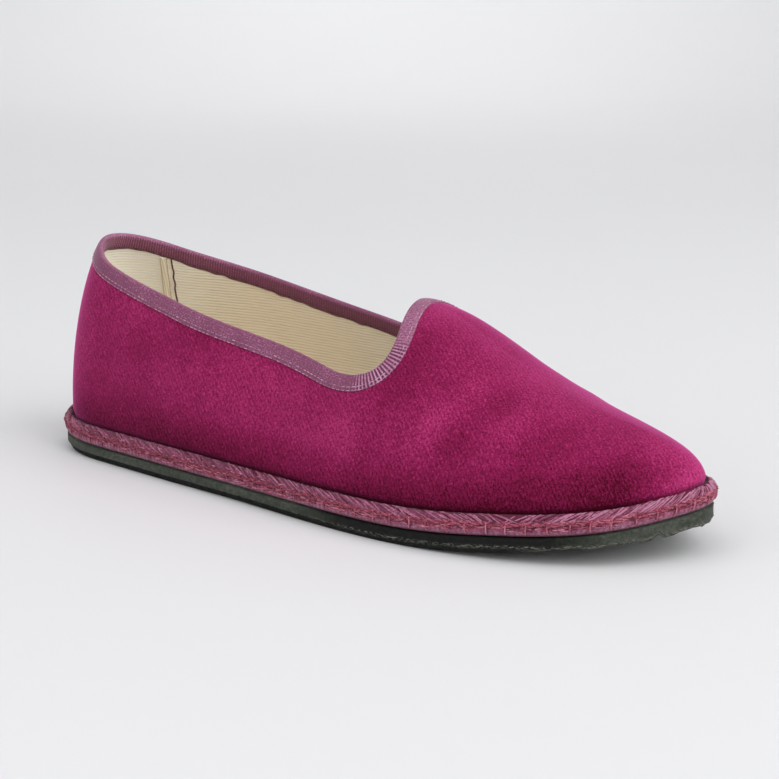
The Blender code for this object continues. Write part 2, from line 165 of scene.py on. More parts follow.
# Light and dark marks on the velvet, partly its brushed nap and partly painted light and shade: along,
# height, half length, half width, lean in degrees, light or dark
NAP_AND_LIGHT_MARKS = {
    LATERAL: (
        (26, 48, 7, 14, 0, 0.25), (49, 53, 10, 6, 0, 0.3), (70, 36, 20, 7, 0, 0.35),
        (40, 24, 16, 6, 0, -0.25), (54, 19, 8, 5, 0, -0.2), (104, 41, 11, 7, -10, 0.4),
        (108, 30, 18, 7, -5, 0.15), (100, 18, 9, 5, 0, -0.25), (120, 15, 18, 4, 0, 0.4),
        (138, 32, 7, 6, 60, 0.6), (147, 24, 6, 4, 30, -0.4), (155, 45, 12, 6, 60, -0.35),
        (170, 37, 10, 4.5, 55, 0.6), (181, 48, 6, 4, 0, 0.45), (178, 32, 8, 4, 50, -0.45),
        (186, 43, 7, 4, 30, -0.45), (192, 37, 8, 4, 55, 0.35), (204, 33, 9, 7, 40, -0.45),
        (204, 24, 12, 4, 0, -0.3), (219, 31, 6, 2.5, 35, 0.2), (214, 27, 7, 3, 25, -0.3),
        (225, 27, 8, 5, 0, -0.5), (191, 31, 7, 6, 0, -0.25), (175, 45, 6, 5, 30, -0.25),
        (142, 26, 6, 6, 0, 0.3), (128, 40, 9, 5, 0, 0.2), (138, 20, 16, 7, 0, 0.35),
        (50, 41, 16, 5, 0, -0.3), (157, 53, 6, 5, 60, -0.4), (235, 26, 4, 3, 0, -0.35),
    ),
    MEDIAL: (
        (70, 37, 22, 8, 0, 0.4), (92, 48, 24, 6, -10, -0.4), (128, 30, 12, 6, 35, 0.4),
        (150, 34, 10, 6, 50, -0.4), (168, 37, 11, 5, 52, 0.5), (186, 36, 9, 5, 48, -0.4),
        (203, 33, 9, 5, 45, 0.45),
    ),
}
LOW_SHADE_HEIGHT = 16.0  # painted shade in a band of this height above the welt
LOW_SHADE = -1.3
FOOT_SHADE_HEIGHTS = (0.4, 1.6)  # and darkest painted shade where the velvet turns in under the welt
FOOT_SHADE = -0.6
TIP_REACH = (222.0, 240.0)  # painted highlight on the toe's tip
TIP_LIGHT = 0.9
RIDGE_REACH = (148.0, 156.0, 185.0, 204.0)  # and on the ridge behind the toe
RIDGE_FACING = (0.82, 0.97)
RIDGE_LIGHT = 0.5

# Collar ribbon; distances run from the throat's low corner towards the peak
COLLAR_SIDE_SAMPLES = 320
COLLAR_THROAT_SAMPLES = 200
RIB_PITCH = 0.98
RIB_SAMPLES = 5
SIDE_RIBS = 0.08  # strength of the cross ribs along the sides
RISE_RIBS = 0.06
# inside, the ribs' painted shade is stronger than their relief
INSIDE_RIBS = 0.4
UNEVEN_RIBS = 0.35
PLEATS = (11.0, 17.0, 26.0, 34.0)  # the ribbon is gathered into strong ribs here
RISE = (24.0, 34.0)  # and lighter from here to the peak, as painted light
RIB_LIFT = 0.30
RIBBON_CROWN = 0.18
INNER_CROWN = 0.6  # share of it inside the shoe
HEM_WAVE = 0.35  # the hem inside the shoe is cut a little wavy
HEM_FADE = 2.4  # power by which its dark edge fades up the leg
FOLD_WAY = 4.0  # way around the fold
FOLD_LIGHT = 1.2  # painted highlight where its top catches the light
FOLD_LIT = (0.55, 0.28)  # middle and half width of that painted highlight, in parts of the fold
FOLD_INSIDE = (0.65, 1.0)  # here the fold takes the colour of the inside
HEEL_LEG_SHADE = -1.2  # painted shade on the leg below the fold at the heel
HEEL_LEG_REACH = (-122.0, -70.0)
INSIDE_PLACES = (-133.0, -118.0, -95.0, -60.0, 0.0)  # inside, painted light at the heel and painted shade towards the throat
INSIDE_LIGHT = (2.4, 0.6, -0.5, -1.4, -2.8)
LEG_POINTS = 8
LEG_PARTS = np.linspace(0.0, 1.0, LEG_POINTS)
FOLD_POINTS = 9
BACK_POINTS = [0, LEG_POINTS // 2, -1]  # the hidden back has fewer points
BACK_STEP = 4
RIBBON_SEAMS = (0.05, 0.29)  # heights of the two outer seams, in parts of the leg
RIBBON_STITCH = 1.7  # stitch length with its gap
RIBBON_FILL = 0.8  # share of that without the gap
INSIDE_SEAM = 0.16
INSIDE_STITCH = 2.3
INSIDE_FILL = 0.6
THREAD = 0.14  # radius of the sewing thread
STITCH_ARCH = np.array([-0.24, 0.04, 0.09, 0.04, -0.24])

# Lining: painted light at the heel, warm at the waist, a little slack
LINING_LIGHT = ((20.0, 45.0), (0.9, 0.0))
LINING_WARM = ((35.0, 60.0, 100.0, 125.0), (0.0, 0.36, 0.36, 0.0))
LINING_SAG = 0.25
SAG_PITCH = 17.0
SAG_HEIGHT = 12.0

# Seams of the lining: a turned-in strip with a dark line before it, on both walls
SEAM_RISES = (0.74, 0.12)
SEAM_POINTS = 60
SEAM_TURN = 34.7  # degrees, at the top
SEAM_SLANT = 9.1  # degrees more for each radian down
SEAM_WAVE = 0.25
SEAM_THREAD = 0.36
SEAM_LIFT = 0.05
STRIP_TURN = -3.1  # middle of the strip from the line, in degrees
STRIP = 1.6  # half its width
STRIP_LIFT = 0.1
STRIP_SIDES = 16
STRIP_FLATNESS = 0.24
STRIP_SEAMS = (-4.4, -1.9)  # stitched lines on the strip, in degrees from the dark line
STRIP_SEAM_LIFT = 0.32
STRIP_THREAD = 0.16

# Welt: yarn strands above, ribbed tape below, coral blanket stitch between; spans are parts of the face
WELT_COLUMNS = 700  # on each side
WELT_ROWS = 26
SEAM_PART = 0.46  # height of the stitch line
TAPE_SPAN = (0.03, 0.1, SEAM_PART - 0.1, SEAM_PART)
TAPE_RIB_PITCH = 1.6
TAPE_RIB_LIFT = 0.13
# painted shade in the tape's rib grooves, painted light on the ribs
TAPE_RIB_TONE = 0.30
RIB_FADE = 0.6  # the tape's ribs grow faint towards the toe
RIB_FADE_REACH = (120.0, 160.0)
SWELL = 0.3  # the tape swells between stitches
# painted light on the swells
SWELL_TONE = 0.15
DASH = 0.3  # dents below the stitch line, with painted shade in them
DASH_BELOW = 0.09
DASH_HALF = 0.04
CRIMSON = 0.85
CRIMSON_SPAN = (0.14, 0.32)
WINE_SHADE = 0.7  # painted shade on the ground behind the yarn
CLEAR_WINE_SHADE = 0.15  # and more of that painted shade where the coral stitch stands out
WINE_SHADE_SPAN = (SEAM_PART + 0.03, SEAM_PART + 0.1)
MESH_GROUND = (35.0, 70.0, 115.0, 150.0)  # painted shade at the waist on the cloth behind the mesh
MESH_SHADE = 0.3
MESH_SPAN = (0.1, 0.2)
EDGE_SHADE = 0.9  # painted shade along the lower edge, in the gap over the rubber
EDGE_SPAN = (0.0, 0.1)
RIM_SHADE = 0.2  # painted shade on the ledge above the yarn, under the velvet
RIM_SPAN = (0.80, 0.86)
RIM_REACH = (85.0, 120.0)  # the yarn ends below the rim from here to the toe
INNER_TONE = 0.3  # hidden inner face

# Yarn strands
STRAND_PITCH = 0.6
STRAND = 0.21  # radius
STRAND_SPAN = (0.48, 0.95)
STRAND_SHORTER = 0.10  # where the yarn ends below the rim
STRAND_SWELL = 0.32
STRAND_SUNK = 0.22
STRAND_PLACE_SPREAD = 0.35  # in pitches
STRAND_END_SPREAD = (0.06, 0.04)
STRAND_LEAN_SPREAD = 0.4
STRAND_CURL = 0.4
STRAND_LIFT_SPREAD = 0.14
WAIST_LEAN = -2.4  # way forward for each millimetre up
TOE_LEAN = 2.2
LEAN_SWITCH = (190.0, 212.0)
LEAN_EASE = 14.0  # no lean at the tip and at the heel's back
# yarn darker from the heel to the waist, partly its crimson colour and partly painted shade, and painted
# light at the toe
YARN_LIGHT = ((20.0, 95.0, 130.0, 155.0, 205.0, 230.0), (-0.2, -0.15, -0.15, 0.0, 0.0, 0.3))

# Short crimson stitches, a mesh about the stitch line
TUFT_PITCH = 0.30
TUFT = 0.16  # radius
TUFT_REACH = (1.4, 3.0)
TUFT_ARCH = 0.30
TUFT_SUNK = 0.16
TUFT_SLANT = 0.05
TUFT_PLACES = (20.0, 60.0, 110.0, 140.0, 170.0)
TUFT_LOWEST = (0.34, 0.20, 0.12, 0.20, 0.22)
TUFT_HIGHEST = (0.80, 0.74, 0.68, 0.60, 0.55)

# Coral blanket stitch: two plies run along, with a leg down and two arms up at each stitch
STITCH_PITCH = 6.1
STITCH_SPREAD = 0.07  # in pitches
CLEAR_STITCH = (120.0, 170.0)  # from here to the toe it stands out
CORD = 0.22  # radius of one ply
PLY = 0.27  # the plies lie this far from their middle
CORD_TWISTS = 1.6  # in one stitch
CORD_CLIMB = 0.10  # the thread climbs from each stitch to the next
CORD_SHADES = (0.15, 0.65)
LEG_SHADES = (0.4, 0.9)
ARM_SHADES = (0.1, 0.6)
CORD_LIFT = 0.24
CORD_DIP = 0.3
LEG_LIFT = 0.34
LEG_DIP = 0.58
LEG_SUNK = 0.5  # behind the clear stretch the legs lie in the cloth
LEG_END = 0.06
ARM = (1.6, 0.15)  # reach along, and part of the face
ARM_LIFT = 0.4
ARM_DIP = 0.6

# Threads: dark, middle and light colour, and fineness of the fibres
THREADS = {
    "pink_thread": ((0.26, 0.08, 0.16), (0.43, 0.18, 0.29), (0.62, 0.38, 0.48), 1800.0),
    "brown_thread": ((0.030, 0.008, 0.009), (0.085, 0.024, 0.024), (0.18, 0.065, 0.06), 1300.0),
    "seam_thread": ((0.11, 0.035, 0.030), (0.25, 0.085, 0.070), (0.40, 0.18, 0.14), 1300.0),
    "tan_thread": ((0.20, 0.11, 0.06), (0.42, 0.28, 0.16), (0.62, 0.48, 0.32), 900.0),
    "welt_yarn": ((0.12, 0.017, 0.050), (0.245, 0.046, 0.106), (0.48, 0.19, 0.30), 1300.0),
    "crimson_thread": ((0.08, 0.005, 0.020), (0.33, 0.042, 0.095), (0.68, 0.25, 0.34), 1500.0),
    "coral_thread": ((0.17, 0.010, 0.036), (0.38, 0.062, 0.112), (0.60, 0.22, 0.29), 1500.0),
}
THREAD_SIDES = 6

# Rubber edge, cut and torn by hand
RUBBER_COLUMNS = 640
RUBBER_ACROSS = 28
TORN_DEPTH = 0.55
TORN_START = (110.0, 160.0)  # the lip is torn from here to the toe
UNDERCUT = 0.42  # height of the lip, in parts of the thickness
UNDERCUT_RINGS = 3
UNDERCUT_SHADE = -2.2  # and painted shade on it
TOP_INSET = 1.5  # a dark groove runs under the welt
NOTCH = (19.0, 1.3, 0.9)  # way back from the tip on the lateral side, half width and depth
TIP_HANG = 2.2  # at the tip the lip hangs down, torn through its whole height
TIP_HANG_REACH = (212.0, 240.0)
TIP_TORN = 0.5
TIP_TORN_REACH = (195.0, 215.0)
FACE_PARTS = (0.25, 0.45, 0.7, 0.86)  # rows of the cut face above the lip
FACE_WAVE = 0.12
EDGE_WEAR = 0.4  # light of the cut edge
BALL_DARKER = -2.3  # it is darker below the ball
BALL_DARKER_REACH = (118.0, 150.0, 203.0, 226.0)
TREAD_PITCH = 5.0
TREAD_DEPTH = 0.5
TREAD_EDGE = 0.08  # plain edge, in parts of the width
TREAD_STEP = (0.15, 0.5)

# Stage, in metres
FLOOR_RINGS = (0.3, 0.8)
FLOOR_RADIUS = 1.6
FLOOR_SECTORS = 96
BOWL_ROUND = 0.9
BOWL_STEPS = 16
BOWL_TOP = 2.8
CAMERA_PLACE = (0.27673, -0.40235, 0.16196)
CAMERA_AIM = (0.0075, 0.009, 0.033)
CAMERA_LENS = 71.5
CAMERA_SENSOR = 36.0
SKY = (0.97, 0.98, 1.0, 1.0)
SKY_STRENGTH = 0.41
Lamp = namedtuple("Lamp", "name place aim size power spread")
LAMPS = [
    Lamp("overhead", (0.1, -0.45, 1.9), (0.0, 0.0, 0.0), 1.8, 11.3, 180),
    Lamp("right_key", (1.45, -0.05, 1.25), (0.0, 0.0, 0.05), 1.6, 22.0, 180),
    Lamp("front_fill", (-0.8, -1.4, 0.9), (0.0, 0.0, 0.05), 1.4, 7.0, 180),
    Lamp("backdrop", (-1.0, 1.5, 1.5), (-1.05, 1.6, 0.0), 0.8, 3.4, 110),
]


def spline(knots, values):
    """A natural cubic curve through a table's column."""
    knots = np.asarray(knots, float)
    values = np.asarray(values, float)
    spans = np.diff(knots)
    count = len(knots)
    matrix = np.eye(count)
    right = np.zeros(count)
    for i in range(1, count - 1):
        matrix[i, i - 1:i + 2] = spans[i - 1], 2 * (spans[i - 1] + spans[i]), spans[i]
        right[i] = 6 * ((values[i + 1] - values[i]) / spans[i] - (values[i] - values[i - 1]) / spans[i - 1])
    bend = np.linalg.solve(matrix, right)

    def curve(at):
        i = np.clip(np.searchsorted(knots, at) - 1, 0, count - 2)
        a = (knots[i + 1] - at) / spans[i]
        b = (at - knots[i]) / spans[i]
        cubic = ((a ** 3 - a) * bend[i] + (b ** 3 - b) * bend[i + 1]) * spans[i] ** 2 / 6
        return a * values[i] + b * values[i + 1] + cubic

    return curve


def smooth_part(at, start, end):
    """0 before start, 1 after end, an eased step between."""
    part = np.clip((at - start) / (end - start), 0.0, 1.0)
    return part * part * (3 - 2 * part)


def between(at, start, full, fade, end):
    """1 from full to fade, eased to 0 at start and end."""
    return smooth_part(at, start, full) * (1 - smooth_part(at, fade, end))


def eased(at, knots, values):
    """Eased steps through a table's column, level at every row."""
    result = np.full(np.shape(at), values[0], float)
    for i in range(len(knots) - 1):
        result = result + (values[i + 1] - values[i]) * smooth_part(at, knots[i], knots[i + 1])
    return result


def unit(vectors):
    return vectors / np.linalg.norm(vectors, axis=-1, keepdims=True)


def lengths_along(points):
    """Distance of each point of a line from its first."""
    steps = np.linalg.norm(np.diff(points, axis=0), axis=1)
    return np.concatenate([[0.0], np.cumsum(steps)])


def wander(at, pitch, seed):
    """A smooth random line between -1 and 1, the same in each run."""
    count = 4096
    values = np.random.default_rng(seed).uniform(-1, 1, count)
    place = np.asarray(at, float) / pitch
    low = np.floor(place).astype(int)
    part = smooth_part(place - low, 0.0, 1.0)
    return values[low % count] * (1 - part) + values[(low + 1) % count] * part


def turn_of(station):
    return np.arccos(np.clip(1 - 2 * np.asarray(station, float), -1, 1))


def station_of(turn):
    return (1 - np.cos(turn)) / 2


def half_width_curve(widths):
    return spline([0.0, *turn_of(WIDTH_STATIONS), math.pi], [0.0, *widths, 0.0])


HALF_WIDTH_AT = {side: half_width_curve(widths) for side, widths in HALF_WIDTHS.items()}
COLLAR_AT = {side: spline(COLLAR_STATIONS, heights) for side, heights in COLLAR_HEIGHTS.items()}
CREST_AT = spline(CREST_STATIONS, CRESTS)


# The sole's outline and the ground under it

def axis_swing(x):
    return TOE_SWING * np.clip((x / LENGTH - SWING_START) / (1 - SWING_START), 0, None) ** 2


def widest_line(turn, side):
    x = LENGTH * station_of(turn)
    return x, axis_swing(x) + side * HALF_WIDTH_AT[side](turn)


def edge_frame(turn, side):
    """Plan point of the shoe's edge and its unit direction outwards."""
    x, y = widest_line(turn, side)
    ahead_x, ahead_y = widest_line(turn + STEP, side)
    behind_x, behind_y = widest_line(turn - STEP, side)
    run_x = ahead_x - behind_x
    run_y = ahead_y - behind_y
    length = np.hypot(run_x, run_y)
    return x, y, -side * run_y / length, side * run_x / length


def outline(turn, side, inset):
    """Plan of the shoe's edge, moved in square to itself."""
    x, y, out_x, out_y = edge_frame(turn, side)
    return x - inset * out_x, y - inset * out_y


def sole_lift(x):
    toe = np.clip((x / LENGTH - SPRING_START) / (1 - SPRING_START), 0, None)
    heel = np.clip((HEEL_ROLL_START - x / LENGTH) / HEEL_ROLL_START, 0, None)
    return TOE_SPRING * toe ** 2 + HEEL_ROLL * heel ** 2


def sole_bottom(x):
    part = np.clip((x / LENGTH - ARCH_START) / (ARCH_END - ARCH_START), 0, 1)
    return sole_lift(x) + ARCH_RISE * np.sin(math.pi * part) ** 2


def outsole_top(x):
    thickness = OUTSOLE_THICK - TOE_THINNING * smooth_part(x / LENGTH, THINNING_START, THINNING_END)
    return sole_lift(x) + thickness


def welt_base(x):
    return outsole_top(x) + GAP


def upper_base(x):
    return welt_base(x) + WELT_SEAT + GAP


# The upper's outer face, as a function of turn (along the foot) and rise (up the arch)

def upper_point(turn, rise, side):
    station = station_of(turn)
    foot_x, foot_y = outline(turn, side, FEATHER_INSET)
    base = upper_base(foot_x)
    spine_length = LENGTH - SPINE_TOE - SPINE_HEEL
    spine_x = SPINE_HEEL + spine_length * station
    spine_y = axis_swing(spine_x)
    slope = (CREST_AT(station + STEP) - CREST_AT(station - STEP)) / (2 * STEP * spine_length)
    slope = slope * smooth_part(station, TOE_BLEND_START, TOE_BLEND_END)
    out = np.cos(rise) ** (2 / ROUNDNESS)
    up = np.sin(rise) ** (2 / ROUNDNESS)
    gape = eased(station, GAPE_STATIONS, GAPES[side])
    x = spine_x + (foot_x - spine_x) * out
    y = spine_y + (foot_y - spine_y) * out + side * gape * up
    z = base + (CREST_AT(station) - base) * up + slope * (foot_x - spine_x) * out * (1 - out)
    return np.stack([x, y, z], -1)


def upper_slopes(turn, rise, side):
    """Change of the surface point by turn and by rise."""
    high = np.minimum(rise + STEP, math.pi / 2)
    low = np.maximum(rise - STEP, 0.0)
    by_turn = (upper_point(turn + STEP, rise, side) - upper_point(turn - STEP, rise, side)) / (2 * STEP)
    by_rise = (upper_point(turn, high, side) - upper_point(turn, low, side)) / (high - low)[..., None]
    return by_turn, by_rise


def upper_normal(turn, rise, side):
    return unit(-side * np.cross(*upper_slopes(turn, rise, side)))


def rise_at_height(turn, height):
    foot_x, _ = outline(turn, LATERAL, FEATHER_INSET)
    base = upper_base(foot_x)
    up = (height - base) / (CREST_AT(station_of(turn)) - base)
    return np.arcsin(np.clip(up, 0, 1) ** (ROUNDNESS / 2))


def collar_line(side, side_columns, throat_columns):
    """Turn and rise of the collar, from the heel's back to the vamp's peak."""
    low_station = COLLAR_STATIONS[-1]
    side_turns = np.linspace(0, turn_of(low_station), side_columns + 1)
    side_rises = rise_at_height(side_turns, COLLAR_AT[side](station_of(side_turns)))
    low_rise = side_rises[-1]
    climb = math.pi / 2 - low_rise
    throat = PEAK_STATION - low_station
    controls = np.array([
        [low_station, low_rise],
        [low_station + CORNER_REACH * throat, low_rise],
        [PEAK_STATION + PEAK_LEAN, low_rise + RISE_MIDDLE * climb],
        [PEAK_STATION, math.pi / 2 - PEAK_ROUND * climb],
        [PEAK_STATION, math.pi / 2],
    ])
    degree = len(controls) - 1
    part = np.linspace(0, 1, throat_columns + 1)[1:, None]
    throat_line = np.zeros((throat_columns, 2))
    for i, control in enumerate(controls):
        throat_line += math.comb(degree, i) * (1 - part) ** (degree - i) * part ** i * control
    turns = np.concatenate([side_turns, turn_of(throat_line[:, 0])])
    rises = np.concatenate([side_rises, throat_line[:, 1]])
    return turns, rises


def slide_from_edge(turns, rises, side, distance):
    """Move a collar-like line over the surface, square to itself, into the upper."""
    line = upper_point(turns, rises, side)
    along = unit(np.gradient(line, axis=0))
    along[0] = 0, side, 0
    to_peak = lengths_along(line[::-1])[::-1]
    square = 1 - smooth_part(to_peak, 0.0, PEAK_EASE)
    along = along * (1 - square)[:, None] + square[:, None] * (0, -side, 0)
    by_turn, by_rise = upper_slopes(turns, rises, side)
    inward = unit(np.cross(along, np.cross(by_turn, by_rise)))
    moved = np.stack([turns, rises])
    for i in range(len(turns)):
        slopes = np.stack([by_turn[i], by_rise[i]], 1)
        step, _, _, _ = np.linalg.lstsq(slopes, inward[i] * distance, rcond=None)
        moved[:, i] += step
    moved[0, 0] = 0.0
    moved[1, -1] = math.pi / 2
    columns_left = np.arange(len(rises))[::-1]
    moved[1] = np.minimum(moved[1], math.pi / 2 - 1e-4 * columns_left)
    return moved


def binding_lines(side, side_columns, throat_columns):
    """Turns and rises of the ribbon's hem and of the wall's edge, from the heel's back to the peak."""
    turns, rises = collar_line(side, side_columns, throat_columns)
    hem = slide_from_edge(turns, rises, side, BINDING_WIDTH)
    edge = slide_from_edge(turns, rises, side, EDGE_DROP)
    return hem, edge


# Meshes

def axis_shift():
    turns = np.linspace(0, math.pi, 400)
    lateral = min(widest_line(turns, LATERAL)[1])
    medial = max(widest_line(turns, MEDIAL)[1])
    return -(lateral + medial) / 2


AXIS_SHIFT = axis_shift()


def placed(points):
    """From millimetres along the shoe to metres about the origin."""
    return (np.asarray(points, float) + (-LENGTH / 2, AXIS_SHIFT, 0)) * MM


def linked_object(name, data):
    thing = bpy.data.objects.new(name, data)
    bpy.context.collection.objects.link(thing)
    return thing


def new_object(name, points, faces, material):
    """A smooth mesh in the scene, from points in metres."""
    mesh = bpy.data.meshes.new(name)
    mesh.from_pydata(points.tolist(), [], [tuple(face) for face in faces])
    mesh.materials.append(material)
    mesh.shade_smooth()
    return linked_object(name, mesh)


def add_piece(name, points, faces, material, slot, replaced=None, **values):
    """A mesh in the frame, with named numbers or vectors on its points for the material to read."""
    piece = new_object(name, placed(points), faces, material)
    for key, value in values.items():
        value = np.asarray(value, np.float32).ravel()
        kind, field = ("FLOAT", "value") if value.size == len(points) else ("FLOAT_VECTOR", "vector")
        piece.data.attributes.new(key, kind, "POINT").data.foreach_set(field, value)
    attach(piece, "root")
    if replaced:
        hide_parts(replaced)


def weave_ways(along, across):
    """Vectors along and across a cloth, for its threads."""
    along, across = np.broadcast_arrays(along, across)
    return np.stack([along, across, np.zeros(along.shape)], -1)


def grid_quads(grid):
    """Quads between neighbouring rows and columns of point numbers."""
    return np.stack([grid[:-1, :-1], grid[1:, :-1], grid[1:, 1:], grid[:-1, 1:]], -1).reshape(-1, 4)


def ring_quads(rings):
    """The same, for rows that close on themselves."""
    return grid_quads(np.concatenate([rings, rings[:, :1]], 1))


def closed_loft(rings_points):
    """Points and quads of a tube-like body that closes on itself both ways."""
    count, size, _ = rings_points.shape
    rings = np.arange(count * size).reshape(count, size)
    return rings_points.reshape(-1, 3), ring_quads(np.concatenate([rings, rings[:1]]))


def thread_mesh(paths, radius, sides, flatness=1.0):
    """Joined threads along lists of points, round or flat, with closed ends."""
    points = []
    faces = []
    start = 0
    turns = np.linspace(0, 2 * math.pi, sides, endpoint=False)[:, None]
    for path, normal in paths:
        along = unit(np.gradient(path, axis=0))
        across = unit(np.cross(along, normal))
        up = flatness * np.cross(across, along)
        ring = across[:, None] * np.cos(turns) + up[:, None] * np.sin(turns)
        points.append((path[:, None] + radius * ring).reshape(-1, 3))
        rows = start + np.arange(len(path) * sides).reshape(len(path), sides)
        faces.extend(ring_quads(rows).tolist())
        faces.append(rows[0].tolist())
        faces.append(rows[-1][::-1].tolist())
        start += len(path) * sides
    return np.concatenate(points), faces


def add_threads(name, paths, radius, thread, slot, shades):
    """One joined mesh of threads, each in a shade of its own."""
    points, faces = thread_mesh(paths, radius, THREAD_SIDES)
    shade = np.repeat(shades, [len(path) * THREAD_SIDES for path, _ in paths])
    add_piece(name, points, faces, thread_material(thread), slot, shade=shade)


def mixed_shades(paths, seed):
    return np.random.default_rng(seed).uniform(0, 1, len(paths))


# Materials

class Tree:
    """A Principled material and short ways to add nodes to it."""

    def __init__(self, name, **constants):
        self.material = bpy.data.materials.new(name)
        self.material.use_nodes = True
        self.tree = self.material.node_tree
        self.shader = self.tree.nodes["Principled BSDF"]
        self.place = self.add("TexCoord", {}).outputs["Object"]
        for key, value in constants.items():
            self.shader.inputs[key.replace("_", " ")].default_value = value

    def add(self, kind, inputs, **settings):
        node = self.tree.nodes.new("ShaderNode" + kind)
        for key, value in settings.items():
            setattr(node, key, value)
        for key, value in inputs.items():
            if isinstance(value, bpy.types.NodeSocket):
                self.tree.links.new(value, node.inputs[key])
            else:
                node.inputs[key].default_value = value
        return node

    def value(self, name):
        return self.add("Attribute", {}, attribute_name=name).outputs["Fac"]

    def weave(self):
        return self.add("Attribute", {}, attribute_name="weave").outputs["Vector"]

    def noise(self, vector, scale, detail=3.0, roughness=0.55):
        """Noise at one scale, or at a scale for each axis."""
        if isinstance(scale, tuple):
            vector = self.add("Mapping", {"Vector": vector, "Scale": scale}).outputs["Vector"]
            scale = 1.0
        inputs = {"Vector": vector, "Scale": scale, "Detail": detail, "Roughness": roughness}
        return self.add("TexNoise", inputs).outputs["Fac"]

    def wave(self, vector, scale, direction, distortion):
        inputs = {"Vector": vector, "Scale": scale, "Distortion": distortion}
        return self.add("TexWave", inputs, bands_direction=direction).outputs["Fac"]

    def math(self, operation, first, second):
        return self.add("Math", {0: first, 1: second}, operation=operation).outputs[0]

    def weighted(self, *terms):
        """Sum about a half of (socket, weight, middle) terms; the middle is a half where none is given."""
        total = 0.5
        for term in terms:
            socket, weight, middle = (*term, 0.5)[:3]
            scaled = self.math("MULTIPLY", self.math("SUBTRACT", socket, middle), weight)
            total = self.math("ADD", scaled, total)
        return total

    def ramp(self, factor, stops):
        node = self.add("ValToRGB", {"Fac": factor})
        elements = node.color_ramp.elements
        while len(elements) < len(stops):
            elements.new(0.5)
        for element, (position, colour) in zip(elements, stops.items()):
            element.position = position
            element.color = (*colour, 1.0)
        return node.outputs["Color"]

    def mix(self, factor, first, second):
        """From one colour to another, which may be a plain one."""
        if isinstance(second, tuple):
            second = (*second, 1.0)
        return self.add("Mix", {0: factor, 6: first, 7: second}, data_type="RGBA").outputs[2]

    def link(self, socket, name):
        self.tree.links.new(socket, self.shader.inputs[name])

    def finish(self, colour, *bumps):
        """Link the colour, and stacked bumps of (height socket, strength, distance in metres)."""
        self.link(colour, "Base Color")
        before = {}
        for height, strength, distance in bumps:
            inputs = {"Height": height, "Strength": strength, "Distance": distance, **before}
            before = {"Normal": self.add("Bump", inputs).outputs["Normal"]}
        for name, socket in before.items():
            self.link(socket, name)
        return self.material


def velvet_material():
    tree = Tree("velvet", Roughness=0.95, Specular_IOR_Level=0.08, Sheen_Weight=0.45, Sheen_Roughness=0.3,
                Sheen_Tint=(1.0, 0.22, 0.54, 1.0))
    patches = tree.noise(tree.place, 55.0, 4.0, 0.6)
    pile = tree.noise(tree.place, (1500.0, 1500.0, 1000.0), 2.0, 0.7)
    speckle = tree.noise(tree.place, 2300.0, 1.0, 0.7)
    slanted = tree.add("Mapping", {"Vector": tree.place, "Scale": (1.0, 1.0, 0.5)}).outputs["Vector"]
    rows = tree.wave(slanted, 380.0, "DIAGONAL", 3.0)
    # the nap values carry the nap's own light and dark together with painted light and shade
    tone = tree.weighted((tree.value("nap"), 0.30, 0.0), (patches, 0.35), (pile, 1.0), (speckle, 0.9),
                         (rows, 0.11))
    deep = tree.ramp(tone, {0.0: (0.062, 0.001, 0.01), 0.5: (0.244, 0.011, 0.073), 1.0: (0.52, 0.047, 0.195)})
    # painted sheen: towards grazing views the colour turns to a light pink rim and a paler edge
    painted_sheen_facing = tree.add("LayerWeight", {"Blend": 0.3}).outputs["Facing"]
    rim = tree.math("MULTIPLY", tree.math("POWER", painted_sheen_facing, 2.6), 0.95)
    edge = tree.math("MULTIPLY", tree.math("POWER", painted_sheen_facing, 6.0), 0.7)
    colour = tree.mix(edge, tree.mix(rim, deep, (0.64, 0.09, 0.35)), (0.82, 0.24, 0.54))
    return tree.finish(colour, (patches, 0.2, 0.0012), (pile, 0.8, 0.0003), (speckle, 0.6, 0.00015))


def ribbon_material():
    tree = Tree("ribbon", Roughness=0.58, Specular_IOR_Level=0.35, Sheen_Weight=0.35, Sheen_Roughness=0.4,
                Sheen_Tint=(1.0, 0.7, 0.85, 1.0))
    weave = tree.weave()
    lines = tree.wave(weave, 0.34, "Y", 0.6)
    speckle = tree.noise(weave, (1.2, 1.7, 1.0), 2.0, 0.7)
    shade = tree.noise(tree.place, 120.0)
    # painted relief shade: ribs and pleats lighter on their ridges, darker in their grooves
    tone = tree.weighted((tree.value("relief"), 0.95), (lines, 0.06), (speckle, 1.0), (shade, 0.3),
                         # painted light and shade of the ribbon
                         (tree.value("light"), 0.10, 0.0))
    colour = tree.ramp(tone, {0.0: (0.06, 0.009, 0.033), 0.5: (0.206, 0.046, 0.112), 1.0: (0.60, 0.29, 0.45)})
    inside = tree.math("MULTIPLY", tree.value("inside"), 0.45)
    colour = tree.mix(inside, colour, (0.19, 0.048, 0.078))
    colour = tree.mix(tree.value("hem"), colour, (0.085, 0.022, 0.022))
    return tree.finish(colour, (lines, 0.2, 0.00012), (speckle, 0.4, 0.0001))


def canvas_material(name):
    tree = Tree(name, Roughness=0.88, Specular_IOR_Level=0.15, Sheen_Weight=0.12, Sheen_Roughness=0.5)
    weave = tree.weave()
    twill = tree.wave(weave, 0.29, "Y", 1.2)
    warp = tree.wave(weave, 0.55, "DIAGONAL", 0.6)
    slubs = tree.noise(weave, (0.12, 1.3, 1.0), 3.0, 0.6)
    shade = tree.noise(tree.place, 45.0)
    tone = tree.weighted((twill, 0.55), (warp, 0.10), (slubs, 0.60), (shade, 0.2),
                         # painted light where a piece gives light values
                         (tree.value("light"), 0.5, 0.0))
    colour = tree.ramp(tone, {0.0: (0.62, 0.53, 0.37), 0.5: (0.92, 0.825, 0.63), 1.0: (0.98, 0.95, 0.85)})
    colour = tree.mix(tree.value("warm"), colour, (0.84, 0.64, 0.42))
    return tree.finish(colour, (twill, 0.5, 0.00025), (warp, 0.25, 0.00012), (slubs, 0.35, 0.0002))


